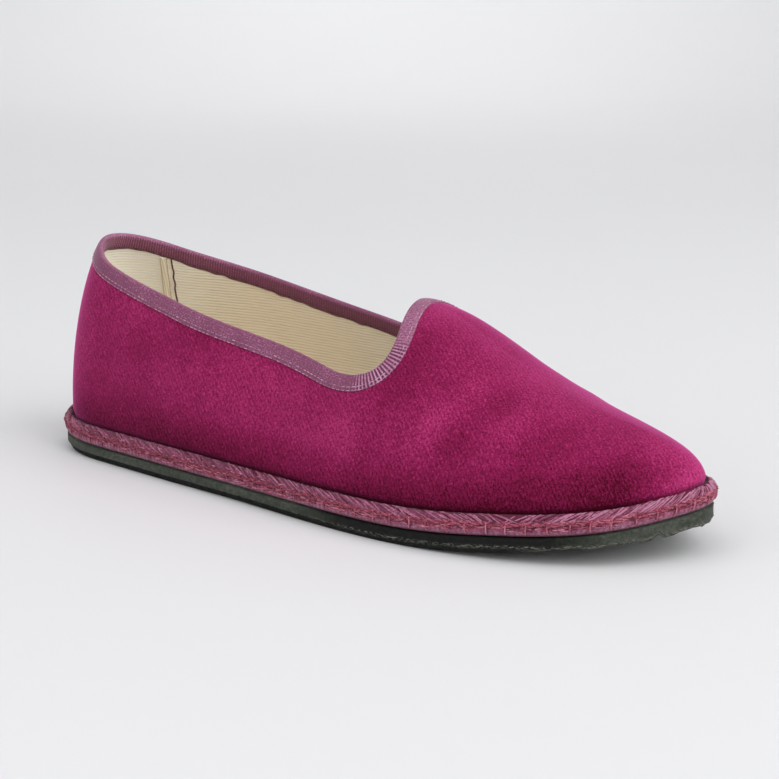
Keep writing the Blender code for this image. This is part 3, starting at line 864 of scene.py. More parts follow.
def welt_material():
    tree = Tree("welt_tape", Roughness=0.75, Specular_IOR_Level=0.2, Sheen_Weight=0.15, Sheen_Roughness=0.4,
                Sheen_Tint=(1.0, 0.7, 0.8, 1.0))
    streaks = tree.noise(tree.weave(), (0.45, 3.2, 1.0), 3.0, 0.65)
    speckle = tree.noise(tree.place, 1500.0, 2.0, 0.7)
    shade = tree.noise(tree.place, 90.0)
    tone = tree.weighted((tree.value("relief"), 1.0), (streaks, 0.7), (speckle, 1.3), (shade, 0.4))
    pale = tree.ramp(tone, {0.0: (0.11, 0.026, 0.048), 0.5: (0.250, 0.090, 0.148), 1.0: (0.47, 0.26, 0.35)})
    rose = tree.ramp(tone, {0.0: (0.10, 0.006, 0.024), 0.5: (0.300, 0.044, 0.098), 1.0: (0.55, 0.20, 0.28)})
    colour = tree.mix(tree.value("crimson"), pale, rose)
    # painted shade from the dark values
    colour = tree.mix(tree.value("dark"), colour, (0.075, 0.004, 0.020))
    return tree.finish(colour, (streaks, 0.4, 0.0003), (speckle, 0.4, 0.0001))


def thread_material(name):
    dark, middle, light, fineness = THREADS[name]
    tree = Tree(name, Roughness=0.65, Specular_IOR_Level=0.25, Sheen_Weight=0.2)
    fibres = tree.noise(tree.place, fineness, 2.0, 0.65)
    tone = tree.weighted((tree.value("shade"), 0.8), (fibres, 1.3))
    return tree.finish(tree.ramp(tone, {0.1: dark, 0.5: middle, 0.95: light}), (fibres, 0.5, 0.0002))


def rubber_material():
    tree = Tree("rubber", Specular_IOR_Level=0.22)
    grain = tree.noise(tree.place, 700.0, 5.0, 0.7)
    smear = tree.noise(tree.place, (60.0, 60.0, 260.0))
    fibres = tree.noise(tree.place, (900.0, 900.0, 2600.0), 2.0, 0.6)
    # the tone values carry painted shade on the undercut
    tone = tree.weighted((tree.value("wear"), 0.3, 0.0), (grain, 1.1), (smear, 0.5))
    colour = tree.ramp(tone, {0.0: (0.003, 0.004, 0.003), 0.5: (0.035, 0.041, 0.030),
                              0.95: (0.11, 0.12, 0.098)})
    torn = tree.math("MULTIPLY", tree.value("torn"), tree.math("GREATER_THAN", fibres, 0.51))
    limits = {"From Min": 0.3, "From Max": 0.7, "To Min": 0.5, "To Max": 0.85}
    tree.link(tree.add("MapRange", {"Value": grain, **limits}).outputs[0], "Roughness")
    colour = tree.mix(torn, colour, (0.23, 0.232, 0.195))
    return tree.finish(colour, (grain, 0.6, 0.0004), (smear, 0.2, 0.0004))


def floor_material():
    tree = Tree("pale_floor", Roughness=0.7, Specular_IOR_Level=0.2)
    shade = tree.noise(tree.place, 3.0, 2.0)
    return tree.finish(tree.ramp(shade, {0.0: (0.76, 0.76, 0.77), 1.0: (0.79, 0.79, 0.80)}))


# Upper: fine grid of the wall, shared by velvet and lining

def upper_parameters(side):
    """Turn and rise by column and row; empty above the hem on the vamp's columns."""
    hem, edge = binding_lines(side, SIDE_COLUMNS, THROAT_COLUMNS)
    hem_turns, hem_rises = hem
    foot_side = hem_turns[:SIDE_COLUMNS + 1] * FOOT_TURN_LOW / hem_turns[SIDE_COLUMNS]
    fan = np.linspace(0, 1, THROAT_COLUMNS + 1)[1:] ** FOOT_EASE
    foot_throat = FOOT_TURN_LOW + (FOOT_TURN_PEAK - FOOT_TURN_LOW) * fan
    part = np.linspace(0, 1, VAMP_COLUMNS + 1)[1:]
    foot_vamp = FOOT_TURN_PEAK + (math.pi - FOOT_TURN_PEAK) * part
    foot = np.concatenate([foot_side, foot_throat, foot_vamp])
    top_turns = np.concatenate([hem_turns, hem_turns[-1] + (math.pi - hem_turns[-1]) * part])
    top_rises = np.concatenate([hem_rises, np.full(VAMP_COLUMNS, math.pi / 2)])
    grid = np.full((2, LAST_COLUMN + 1, TOP_ROW + 1), np.nan)
    grid[0, :, :WALL_ROWS + 1] = foot[:, None] + (top_turns - foot)[:, None] * WALL_PARTS
    grid[1, :, :WALL_ROWS + 1] = top_rises[:, None] * WALL_PARTS
    grid[:, :QUARTER_COLUMNS + 1, WALL_ROWS + 1:] = hem[..., None] + (edge - hem)[..., None] * SEAT_PARTS
    return grid


def upper_numbers():
    """Point number by side, column and row; the halves share the heel, toe and spine seams."""
    i, row = np.indices((LAST_COLUMN + 1, TOP_ROW + 1))
    there = (i <= QUARTER_COLUMNS) | (row <= WALL_ROWS)
    shared = (i == 0) | (i == LAST_COLUMN) | ((i >= QUARTER_COLUMNS) & (row >= WALL_ROWS))
    own = there & ~shared
    lateral = np.where(there, np.cumsum(there).reshape(there.shape) - 1, -1)
    medial = np.where(own, there.sum() + np.cumsum(own).reshape(own.shape) - 1, lateral)
    return {LATERAL: lateral, MEDIAL: medial}, there.sum() + own.sum()


def upper_quads(numbers):
    quads = []
    for side in SIDES:
        grid = numbers[side]
        for block in (grid[:QUARTER_COLUMNS + 1], grid[QUARTER_COLUMNS:, :WALL_ROWS + 1]):
            quads.append(grid_quads(block) if side == LATERAL else grid_quads(block)[:, ::-1])
    return np.concatenate(quads)


def mesh_normals(points, quads):
    a, b, c, d = (points[quads[:, k]] for k in range(4))
    face = np.cross(c - a, d - b)
    normals = np.zeros_like(points)
    for k in range(4):
        np.add.at(normals, quads[:, k], face)
    return unit(normals)


UpperSurface = namedtuple("UpperSurface", "points normals quads numbers row along_up")


def upper_surface():
    """The upper's outer face as one mesh, with each point's row and its way along and up."""
    numbers, count = upper_numbers()
    points = np.zeros((count, 3))
    rows = np.zeros(count, int)
    ways = np.zeros((count, 3))
    for side in SIDES:
        turns, rises = upper_parameters(side)
        there = numbers[side] >= 0
        index = numbers[side][there]
        lines = np.full((*there.shape, 3), np.nan)
        lines[there] = upper_point(turns[there], rises[there], side)
        points[index] = lines[there]
        rows[index] = np.nonzero(there)[1]
        steps_up = np.linalg.norm(np.diff(lines, axis=1), axis=2)
        up = np.concatenate([np.zeros((LAST_COLUMN + 1, 1)), np.cumsum(steps_up, axis=1)], 1)
        ways[index] = np.stack([points[index, 0], up[there], np.full(len(index), side)], -1)
    quads = upper_quads(numbers)
    return UpperSurface(points, mesh_normals(points, quads), quads, numbers, rows, ways)


def ring_numbers(numbers, row, last_column):
    lateral = numbers[LATERAL][:last_column + 1, row]
    medial = numbers[MEDIAL][last_column - 1:0:-1, row]
    return np.concatenate([lateral, medial])


def wall_layer(surface, outer_depth, inner_depth):
    """Closed shell between two faces of the wall, at depths below its outer face."""
    outer = surface.points - surface.normals * outer_depth[:, None]
    inner = surface.points - surface.normals * inner_depth[:, None]
    count = len(outer)
    feather = ring_numbers(surface.numbers, 0, LAST_COLUMN)
    rim = ring_numbers(surface.numbers, TOP_ROW, QUARTER_COLUMNS)
    quads = [surface.quads, surface.quads[:, ::-1] + count]
    for ring, upward in ((feather, False), (rim, True)):
        after = np.roll(ring, -1)
        band = np.stack([ring, after, after + count, ring + count], -1)
        quads.append(band if upward else band[:, ::-1])
    return np.concatenate([outer, inner]), np.concatenate(quads)


def segment_distance(points, start, end):
    """Distance in the side view from a line between two (along, height) ends."""
    start = np.array(start, float)
    run = np.array(end, float) - start
    part = np.clip(((points - start) @ run) / (run @ run), 0, 1)
    return np.linalg.norm(points - start - part[:, None] * run, axis=1)


def fold_lift(surface):
    side_view = surface.points[:, [0, 2]]
    lift = np.zeros(len(side_view))
    for side, folds in FOLDS.items():
        facing = smooth_part(side * surface.normals[:, 1], *SIDE_FACING)
        for start, end, width, height in folds:
            distance = segment_distance(side_view, start, end)
            lift += FOLD_STRENGTH * height * np.exp(-(distance / width) ** 2) * facing
    return lift


def nap_light(surface):
    """Painted light and shade of the velvet, with the light and dark of its brushed nap, about 0."""
    along, _, height = surface.points.T
    up = surface.along_up[:, 1]
    tip = smooth_part(along, *TIP_REACH)
    # painted shade low on the wall, darkest where it turns in; painted highlight on the tip and on the
    # up-facing ridge
    light = LOW_SHADE * (1 - smooth_part(up, 0.0, LOW_SHADE_HEIGHT)) * (1 - tip) + TIP_LIGHT * tip
    light += FOOT_SHADE * (1 - smooth_part(up, *FOOT_SHADE_HEIGHTS))
    light += RIDGE_LIGHT * between(along, *RIDGE_REACH) * smooth_part(surface.normals[:, 2], *RIDGE_FACING)
    # the marks: the nap's own light and dark, together with painted light and shade
    for side, marks in NAP_AND_LIGHT_MARKS.items():
        facing = smooth_part(side * surface.normals[:, 1], *SIDE_FACING)
        for middle, level, half_length, half_width, lean, strength in marks:
            lean = math.radians(lean)
            ahead = (along - middle) * math.cos(lean) + (height - level) * math.sin(lean)
            aside = (height - level) * math.cos(lean) - (along - middle) * math.sin(lean)
            light += strength * np.exp(-(ahead / half_length) ** 2 - (aside / half_width) ** 2) * facing
    return light


def add_upper(surface):
    up = surface.along_up[:, 1]
    seated = surface.row > WALL_ROWS
    tuck = TUCK * (1 - smooth_part(up, 0.0, TUCK_HEIGHT))
    lift = fold_lift(surface) * smooth_part(up, 0.0, FOLD_CLEAR) * (surface.row < WALL_ROWS)
    outer_depth = SEAT_DEPTH * seated + tuck - lift
    points, quads = wall_layer(surface, outer_depth, np.where(seated, WALL / 2, VELVET))
    nap = np.tile(nap_light(surface), 2)
    add_piece("upper_velvet", points, quads, velvet_material(), "velvet", "upper", nap=nap)


def add_lining(surface):
    along, up, _ = surface.along_up.T
    seated = surface.row > WALL_ROWS
    sag = LINING_SAG * wander(along, SAG_PITCH, 3) * smooth_part(up, 0.0, SAG_HEIGHT)
    inner_depth = WALL - SEAT_DEPTH * seated + sag * (surface.row < WALL_ROWS)
    outer_depth = np.where(seated, WALL / 2 + SEAT_CLEAR, VELVET + LINING_CLEAR)
    points, quads = wall_layer(surface, outer_depth, inner_depth)
    foot = len(along) + np.nonzero(surface.row == 0)[0]
    points[foot, 2] = upper_base(points[foot, 0])
    # painted light on the lining at the heel
    add_piece("lining", points, quads, canvas_material("lining_canvas"), "insole_canvas", "upper",
              weave=np.tile(surface.along_up, (2, 1)), light=np.interp(points[:, 0], *LINING_LIGHT),
              warm=np.interp(points[:, 0], *LINING_WARM))


# Collar binding: ribbon folded over the edge

CollarLoop = namedtuple("CollarLoop", "length count legs normals up passed")


def collar_loop():
    """Leg lines of the ribbon and their normals at even steps, along the lateral side and back."""
    halves = []
    for side in SIDES:
        hem, edge = binding_lines(side, COLLAR_SIDE_SAMPLES, COLLAR_THROAT_SAMPLES)
        turns, rises = hem[..., None] + (edge - hem)[..., None] * LEG_PARTS
        legs = upper_point(turns, rises, side)
        way = lengths_along(legs[:, -1])
        half = (legs, upper_normal(turns, rises, side), way - way[COLLAR_SIDE_SAMPLES])
        order = slice(None) if side == LATERAL else slice(-2, None, -1)
        halves.append([values[order] for values in half])
    legs, normals, passed = (np.concatenate(pair) for pair in zip(*halves))
    way = lengths_along(legs[:, -1])
    count = round(way[-1] / RIB_PITCH) * RIB_SAMPLES
    even = np.linspace(0, way[-1], count, endpoint=False)

    def resample(values):
        columns = values.reshape(len(way), -1).T
        result = np.stack([np.interp(even, way, column) for column in columns], 1)
        return result.reshape(count, *values.shape[1:])

    legs = resample(legs)
    up = unit(legs[:, -1] - legs[:, -3])
    return CollarLoop(way[-1], count, legs, unit(resample(normals)), up, resample(passed))


def ribbon_crown(part):
    return RIBBON_CROWN * np.sin(math.pi * part) ** 0.5


def ribbon_rings(loop, lift, hem_wave):
    """Profiles of the folded ribbon: the shown outer leg, fold and inner leg, then the back."""
    crown = ribbon_crown(LEG_PARTS)[:, None]
    out_leg = loop.legs + loop.normals * (OUTER_FACE + crown)
    in_leg = loop.legs + loop.normals * (INNER_FACE - INNER_CROWN * crown)
    in_leg += loop.up[:, None] * (hem_wave[:, None] * (1 - LEG_PARTS))[..., None]
    across = loop.normals[:, -1]
    middle = (loop.legs[:, -1] - across * WALL / 2)[:, None]
    angles = np.linspace(0, math.pi, FOLD_POINTS + 2)[1:-1, None]
    fold_out = across[:, None] * np.cos(angles)
    fold_up = loop.up[:, None] * np.sin(angles)
    fold = middle + (OUTER_FACE + WALL / 2) * fold_out + EDGE_DROP * fold_up
    fold_back = middle + ((OUTER_BACK + WALL / 2) * fold_out + GAP * fold_up)[:, ::-BACK_STEP]
    out_back = (loop.legs + loop.normals * OUTER_BACK)[:, BACK_POINTS]
    in_back = (loop.legs + loop.normals * INNER_BACK)[:, BACK_POINTS]
    shown = np.concatenate([out_leg, fold, in_leg[:, ::-1]], 1)
    facing = np.concatenate([loop.normals, unit(fold_out + fold_up), -loop.normals[:, ::-1]], 1)
    shown += facing * lift[:, None, None]
    return np.concatenate([shown, in_back, fold_back, out_back[:, ::-1]], 1)


def ribbon_profile(outer, fold, inner):
    """A value around the ribbon's profile: on the outer leg, fold and inner leg, and 0 on the back."""
    leg = np.ones(LEG_POINTS)
    back = np.zeros(3 * len(BACK_POINTS))
    return np.concatenate([outer * leg, fold * np.ones(FOLD_POINTS), inner * leg, back])


def add_ribbon(loop):
    way = np.arange(loop.count) * loop.length / loop.count
    rib = -0.5 * np.cos(2 * math.pi * np.arange(loop.count) / RIB_SAMPLES)
    rise = smooth_part(loop.passed, *RISE)
    ribs = SIDE_RIBS + (1 - SIDE_RIBS) * between(loop.passed, *PLEATS) + RISE_RIBS * rise
    ribs = ribs * (1 + UNEVEN_RIBS * wander(way, 2.3, 11))
    points, quads = closed_loft(ribbon_rings(loop, RIB_LIFT * ribs * rib, HEM_WAVE * wander(way, 3.4, 12)))
    fold = np.linspace(0, 1, FOLD_POINTS)
    up_leg = LEG_PARTS * BINDING_WIDTH
    across = ribbon_profile(up_leg, BINDING_WIDTH + FOLD_WAY * fold, BINDING_WIDTH + FOLD_WAY + up_leg)
    inside = ribbon_profile(0, smooth_part(fold, *FOLD_INSIDE), 1)
    hem = ribbon_profile(0, 0, LEG_PARTS ** HEM_FADE)
    lit = ribbon_profile(0, np.exp(-((fold - FOLD_LIT[0]) / FOLD_LIT[1]) ** 2), 0)
    # painted light and shade: lighter up the rise, a highlight on the fold's top, shade on the outer leg at
    # the heel, light and shade inside
    heel = 1 - smooth_part(loop.passed, *HEEL_LEG_REACH)
    light = rise[:, None] + FOLD_LIGHT * lit + np.outer(HEEL_LEG_SHADE * heel, ribbon_profile(1, 0, 0))
    light += np.outer(np.interp(loop.passed, INSIDE_PLACES, INSIDE_LIGHT), ribbon_profile(0, fold, 1))
    # the relief values paint light on the ribs and shade in their grooves
    add_piece("collar_ribbon", points, quads, ribbon_material(), "ribbon", "collar_binding",
              relief=0.5 + rib[:, None] * (ribs[:, None] + INSIDE_RIBS * inside), light=light,
              inside=np.tile(inside, loop.count), hem=np.outer(0.7 + 0.3 * wander(way, 1.6, 13), hem),
              weave=weave_ways(way[:, None], across))


def leg_sample(loop, way, part, offset):
    """Points and normals on the ribbon's legs, at distances along the collar."""
    place = np.asarray(way) / loop.length * loop.count
    low = np.floor(place).astype(int)
    share = (place - low)[:, None]
    leg = part * (LEG_POINTS - 1)
    row = int(leg)
    row_share = leg - row

    def lerp(values):
        rows = values[:, row] * (1 - row_share) + values[:, row + 1] * row_share
        return rows[low % loop.count] * (1 - share) + rows[(low + 1) % loop.count] * share

    normals = unit(lerp(loop.normals))
    return lerp(loop.legs) + normals * offset, normals


def seam_paths(loop, part, inside, pitch, fill):
    """Short stitches around the collar that dip into the ribbon at both ends."""
    count = round(loop.length / pitch)
    crown = ribbon_crown(part)
    offset = INNER_FACE - INNER_CROWN * crown if inside else OUTER_FACE + crown
    paths = []
    for i in range(count):
        way = i * loop.length / count + np.linspace(0, fill * pitch, len(STITCH_ARCH))
        points, normals = leg_sample(loop, way, part, offset)
        facing = -normals if inside else normals
        paths.append((points + facing * STITCH_ARCH[:, None], facing))
    return paths


def add_ribbon_stitches(loop):
    outer = []
    for part in RIBBON_SEAMS:
        outer += seam_paths(loop, part, False, RIBBON_STITCH, RIBBON_FILL)
    add_threads("ribbon_stitches", outer, THREAD, "pink_thread", "ribbon", mixed_shades(outer, 41))
    inner = seam_paths(loop, INSIDE_SEAM, True, INSIDE_STITCH, INSIDE_FILL)
    add_threads("ribbon_stitches_inside", inner, THREAD, "brown_thread", "ribbon", mixed_shades(inner, 42))


# Seams inside the shoe

def inner_wall(turns, rises, lift):
    """Lines on both walls of the lining, lifted off it into the shoe, and the way that these face."""
    lines = []
    for side in SIDES:
        normals = upper_normal(turns, rises, side)
        lines.append((upper_point(turns, rises, side) - normals * (WALL + lift), -normals))
    return lines


def add_lining_seams():
    rises = np.linspace(*SEAM_RISES, SEAM_POINTS)
    wave = SEAM_WAVE * wander(np.arange(SEAM_POINTS), 3.0, 44)
    line = np.radians(SEAM_TURN + wave + SEAM_SLANT * (SEAM_RISES[0] - rises))
    strips = inner_wall(line + math.radians(STRIP_TURN), rises, STRIP_LIFT)
    points, faces = thread_mesh(strips, STRIP, STRIP_SIDES, STRIP_FLATNESS)
    add_piece("lining_strips", points, faces, canvas_material("strip_canvas"), "insole_canvas",
              weave=weave_ways(points[:, 2], points[:, 0]))
    lines = inner_wall(line, rises, SEAM_LIFT)
    add_threads("lining_seams", lines, SEAM_THREAD, "seam_thread", "insole_canvas", mixed_shades(lines, 43))
    pairs = [inner_wall(line + np.radians(turn - wave), rises, STRIP_SEAM_LIFT) for turn in STRIP_SEAMS]
    edges = [edge for wall in zip(*pairs) for edge in wall]
    add_threads("strip_seams", edges, STRIP_THREAD, "tan_thread", "insole_canvas", mixed_shades(edges, 45))


# Sole pieces: loops around the shoe's edge

EdgeLoop = namedtuple("EdgeLoop", "x y out_x out_y way half")


def edge_loop(columns):
    """Plan of the widest line around the shoe, from the heel's back along the lateral side and back."""
    turns = np.linspace(0, math.pi, columns + 1)
    lateral = np.stack(edge_frame(turns, LATERAL))
    medial = np.stack(edge_frame(turns[-2:0:-1], MEDIAL))
    plan = np.concatenate([lateral, medial], 1)
    return EdgeLoop(*plan, lengths_along(plan[:2].T), columns)


def loop_points(loop, inset, height):
    """Points around the loop, moved in by inset, at a height above the floor."""
    return np.stack([loop.x - inset * loop.out_x, loop.y - inset * loop.out_y, height], 1)


WeltFace = namedtuple("WeltFace", "loop way plan total tip part inset height out up length")


def welt_face():
    """The welt's outer face: plan around the shoe, and inset, height and facing at even steps up."""
    loop = edge_loop(WELT_COLUMNS)
    plan = np.stack([loop.x, loop.y, loop.out_x, loop.out_y])
    plan = np.concatenate([plan, plan[:, :1]], 1)
    way = lengths_along(plan[:2].T)
    steps = lengths_along(np.stack([WELT_INSETS, WELT_HEIGHTS], 1))
    even = np.linspace(0, steps[-1], WELT_ROWS)
    inset = spline(steps, WELT_INSETS)(even)
    height = spline(steps, WELT_HEIGHTS)(even)
    up, out = unit(np.stack([np.gradient(inset), np.gradient(height)], 1)).T
    part = np.linspace(0, 1, WELT_ROWS)
    return WeltFace(loop, way, plan, way[-1], way[loop.half], part, inset, height, out, up, steps[-1])


def on_face(face, way, parts, lift):
    """Points along the welt and up its face, lifted off it, and the way that these face."""
    x, y, out_x, out_y = (np.interp(np.mod(way, face.total), face.way, row) for row in face.plan)
    rows = (face.inset, face.height, face.out, face.up)
    inset, height, out, up = (np.interp(parts, face.part, row) for row in rows)
    inset = inset - lift * out
    points = np.stack([x - inset * out_x, y - inset * out_y, welt_base(x) + height + lift * up], 1)
    return points, np.stack([out * out_x, out * out_y, up], 1)


def place_along(face, way):
    return np.interp(np.mod(way, face.total), face.way, face.plan[0])


def stitch_pitch(face):
    return face.total / round(face.total / STITCH_PITCH)


def welt_relief(face):
    """Lift, painted relief light and shade, crimson, and painted shade: ribbed tape, painted shade in the
    dents under the stitch line and dark wine painted shade above it.
    """
    way = face.way[:-1, None]
    part = face.part[None]
    x = face.plan[0, :-1, None]
    rib = 0.5 * np.cos(2 * math.pi * way / TAPE_RIB_PITCH) * (1 - RIB_FADE * smooth_part(x, *RIB_FADE_REACH))
    tape = between(part, *TAPE_SPAN)
    stitch = np.mod(way / stitch_pitch(face), 1.0)
    swell = np.sin(math.pi * stitch) ** 0.6
    dash_part = SEAM_PART - DASH_BELOW + CORD_CLIMB * (stitch - 0.5)
    dash = np.exp(-((part - dash_part) / DASH_HALF) ** 2) * swell
    lift = (TAPE_RIB_LIFT * rib + SWELL * (swell - 0.8)) * tape - DASH * dash
    # painted light on the ribs and swells and painted shade in their grooves
    tone = 0.5 + (TAPE_RIB_TONE * rib + SWELL_TONE * (swell - 0.75)) * tape
    crimson = CRIMSON * smooth_part(part, *CRIMSON_SPAN) * (0.8 + 0.2 * wander(way, 2.0, 26))
    wine_shade = WINE_SHADE + CLEAR_WINE_SHADE * smooth_part(x, *CLEAR_STITCH)
    # painted shade: in the dents, on the ground behind the yarn, behind the waist's mesh, along the lower
    # edge and under the rim
    dark = dash * (0.6 + 0.4 * wander(way, 3.0, 25)) + wine_shade * smooth_part(part, *WINE_SHADE_SPAN)
    mesh = MESH_SHADE * between(x, *MESH_GROUND) * smooth_part(part, *MESH_SPAN)
    dark = dark + mesh * (0.6 + 0.4 * wander(way, 1.3, 29)) + EDGE_SHADE * (1 - smooth_part(part, *EDGE_SPAN))
    dark = dark + RIM_SHADE * smooth_part(part, *RIM_SPAN) * smooth_part(x, *RIM_REACH)
    return lift, tone, crimson, np.clip(dark, 0, 1)


def add_welt(face):
    loop = face.loop
    lift, tone, crimson, dark = welt_relief(face)
    base = welt_base(loop.x)
    rings = []
    for row in range(WELT_ROWS):
        inset = face.inset[row] - lift[:, row] * face.out[row]
        rings.append(loop_points(loop, inset, base + face.height[row] + lift[:, row] * face.up[row]))
    rings.append(loop_points(loop, WELT_INNER, base + WELT_SEAT))
    rings.append(loop_points(loop, WELT_INNER, base))
    points, quads = closed_loft(np.stack(rings, 1))
    ups = np.append(face.part, [1.0, 0.0]) * face.length

    def with_inner(values, inner):
        return np.pad(values, ((0, 0), (0, 2)), constant_values=inner)

    # the relief and dark values paint light and shade onto the band
    add_piece("welt_band", points, quads, welt_material(), "welt_tape", "welt",
              relief=with_inner(tone, INNER_TONE), crimson=with_inner(crimson, 0), dark=with_inner(dark, 0),
              weave=weave_ways(loop.way[:, None], ups))


def strand_lean(face, way, chance):
    """How far a strand runs along the welt for each millimetre up; between waist and toe both leans mix."""
    lean = TOE_LEAN if chance < smooth_part(place_along(face, way), *LEAN_SWITCH) else WAIST_LEAN
    to_end = min(abs(way - face.tip), way, face.total - way)
    forward = 1 if way < face.tip else -1
    return forward * lean * smooth_part(to_end, 0.0, LEAN_EASE)


def add_welt_strands(face):
    """Yarn laid slantwise from the stitch line over the welt's top."""
    random = np.random.default_rng(24)
    count = round(face.total / STRAND_PITCH)
    pitch = face.total / count
    step = np.linspace(0, 1, 8)
    swell = STRAND_SWELL * np.sin(math.pi * np.linspace(0.1, 0.95, len(step))) - STRAND_SUNK
    paths = []
    places = []
    for i in range(count):
        start = pitch * (i + 0.5 + STRAND_PLACE_SPREAD * random.uniform(-1, 1))
        x = place_along(face, start)
        places.append(x)
        low = STRAND_SPAN[0] + STRAND_END_SPREAD[0] * random.uniform(-1, 1)
        high = STRAND_SPAN[1] - STRAND_SHORTER * smooth_part(x, *RIM_REACH)
        high = high + STRAND_END_SPREAD[1] * random.uniform(-1, 1)
        lean = strand_lean(face, start, random.uniform(0, 1))
        lean = lean * (1 + STRAND_LEAN_SPREAD * random.uniform(-1, 1))
        run = (high - low) * step * face.length
        curl = STRAND_CURL * random.uniform(-1, 1) * np.sin(math.pi * step)
        lift = swell + STRAND_LIFT_SPREAD * random.uniform(-1, 1)
        paths.append(on_face(face, start + lean * run + curl, low + (high - low) * step, lift))
    # painted shade on the yarn towards the waist and painted light at the toe
    shades = random.uniform(0, 1, count) + np.interp(places, *YARN_LIGHT)
    add_threads("welt_strands", paths, STRAND, "welt_yarn", "welt_tape", shades)


def add_welt_tufts(face):
    """Short crimson stitches crowded about the stitch line, most widely from the heel to the waist."""
    random = np.random.default_rng(27)
    count = round(face.total / TUFT_PITCH)
    step = np.linspace(0, 1, 6)
    arch = TUFT_ARCH * np.sin(math.pi * step) - TUFT_SUNK
    paths = []
    for i in range(count):
        start = face.total / count * (i + random.uniform(0, 1))
        x = place_along(face, start)
        span = [np.interp(x, TUFT_PLACES, ends) for ends in (TUFT_LOWEST, TUFT_HIGHEST)]
        middle = random.uniform(*span)
        parts = middle + TUFT_SLANT * random.uniform(-1, 1) * (step - 0.5)
        reach = random.uniform(*TUFT_REACH)
        paths.append(on_face(face, start + reach * (step - 0.5), parts, arch))
    add_threads("welt_tufts", paths, TUFT, "crimson_thread", "welt_tape", mixed_shades(paths, 28))


def add_welt_stitches(face):
    """Coral blanket stitch: two plies along, and a leg and two arms at each stitch."""
    random = np.random.default_rng(21)
    pitch = stitch_pitch(face)
    count = round(face.total / pitch)
    joints = pitch * (np.arange(count) + STITCH_SPREAD * random.uniform(-1, 1, count))
    joints = np.append(joints, joints[0] + face.total)
    along = np.linspace(0, 1, 15)
    down = np.linspace(0, 1, 8)
    draw = np.linspace(0, 1, 5)
    paths = []
    shades = []
    for i in range(count):
        way = joints[i] + (joints[i + 1] - joints[i]) * along
        climb = CORD_CLIMB * (along - 0.5) * random.uniform(0.6, 1.4)
        turn = random.uniform(0, 2 * math.pi)
        clear = 0.5 + 0.5 * smooth_part(place_along(face, joints[i]), *CLEAR_STITCH)
        dip = CORD_DIP * np.abs(2 * along - 1) ** 6
        for ply in (0, math.pi):
            phase = turn + ply + 2 * math.pi * CORD_TWISTS * along
            parts = SEAM_PART + climb + PLY * np.cos(phase) / face.length
            paths.append(on_face(face, way, parts, CORD_LIFT - dip + PLY * np.sin(phase)))
            shades.append(clear * random.uniform(*CORD_SHADES))
        hook = random.uniform(-0.5, 0.5) * np.sin(math.pi * down) + random.uniform(-0.5, 0.3) * down
        parts = (SEAM_PART + LEG_END) * (1 - down) + LEG_END * down
        lift = LEG_LIFT - LEG_SUNK * (1 - clear) - LEG_DIP * down ** 4
        paths.append(on_face(face, joints[i] + hook, parts, lift))
        shades.append(clear * random.uniform(*LEG_SHADES))
        for sense in (-1, 1):
            reach = sense * ARM[0] * draw ** 0.8
            lift = ARM_LIFT - ARM_DIP * draw ** 2
            paths.append(on_face(face, joints[i] + reach, SEAM_PART + ARM[1] * draw, lift))
            shades.append(clear * random.uniform(*ARM_SHADES))
    add_threads("welt_stitches", paths, CORD, "coral_thread", "welt_tape", shades)


def capped_plate(rings, half, across, top_height, bottom_height):
    """Closed plate from side rings, bottom first, whose caps are filled by lines across the shoe."""
    count = 2 * half
    points = [np.concatenate(rings)]
    numbers = np.arange(len(rings) * count).reshape(len(rings), count)
    faces = ring_quads(numbers)[:, [0, 3, 2, 1]].tolist()
    start = numbers.size
    share = np.linspace(0, 1, across + 2)[1:-1]
    for ring, height, upward in ((0, bottom_height, False), (len(rings) - 1, top_height, True)):
        left = rings[ring][1:half]
        right = rings[ring][:half:-1]
        middle = left[:, None] + (right - left)[:, None] * share[:, None]
        middle[..., 2] = height(middle[..., 0], middle[..., 1], share)
        points.append(middle.reshape(-1, 3))
        inner = start + np.arange((half - 1) * across).reshape(half - 1, across)
        start += inner.size
        grid = np.concatenate([numbers[ring, 1:half, None], inner, numbers[ring, :half:-1, None]], 1)
        cap = grid_quads(grid).tolist()
        for tip, row in ((numbers[ring, 0], grid[0]), (numbers[ring, half], grid[-1][::-1])):
            cap.extend([tip, row[k], row[k + 1]] for k in range(across + 1))
        faces.extend(cap if upward else [face[::-1] for face in cap])
    return np.concatenate(points), faces


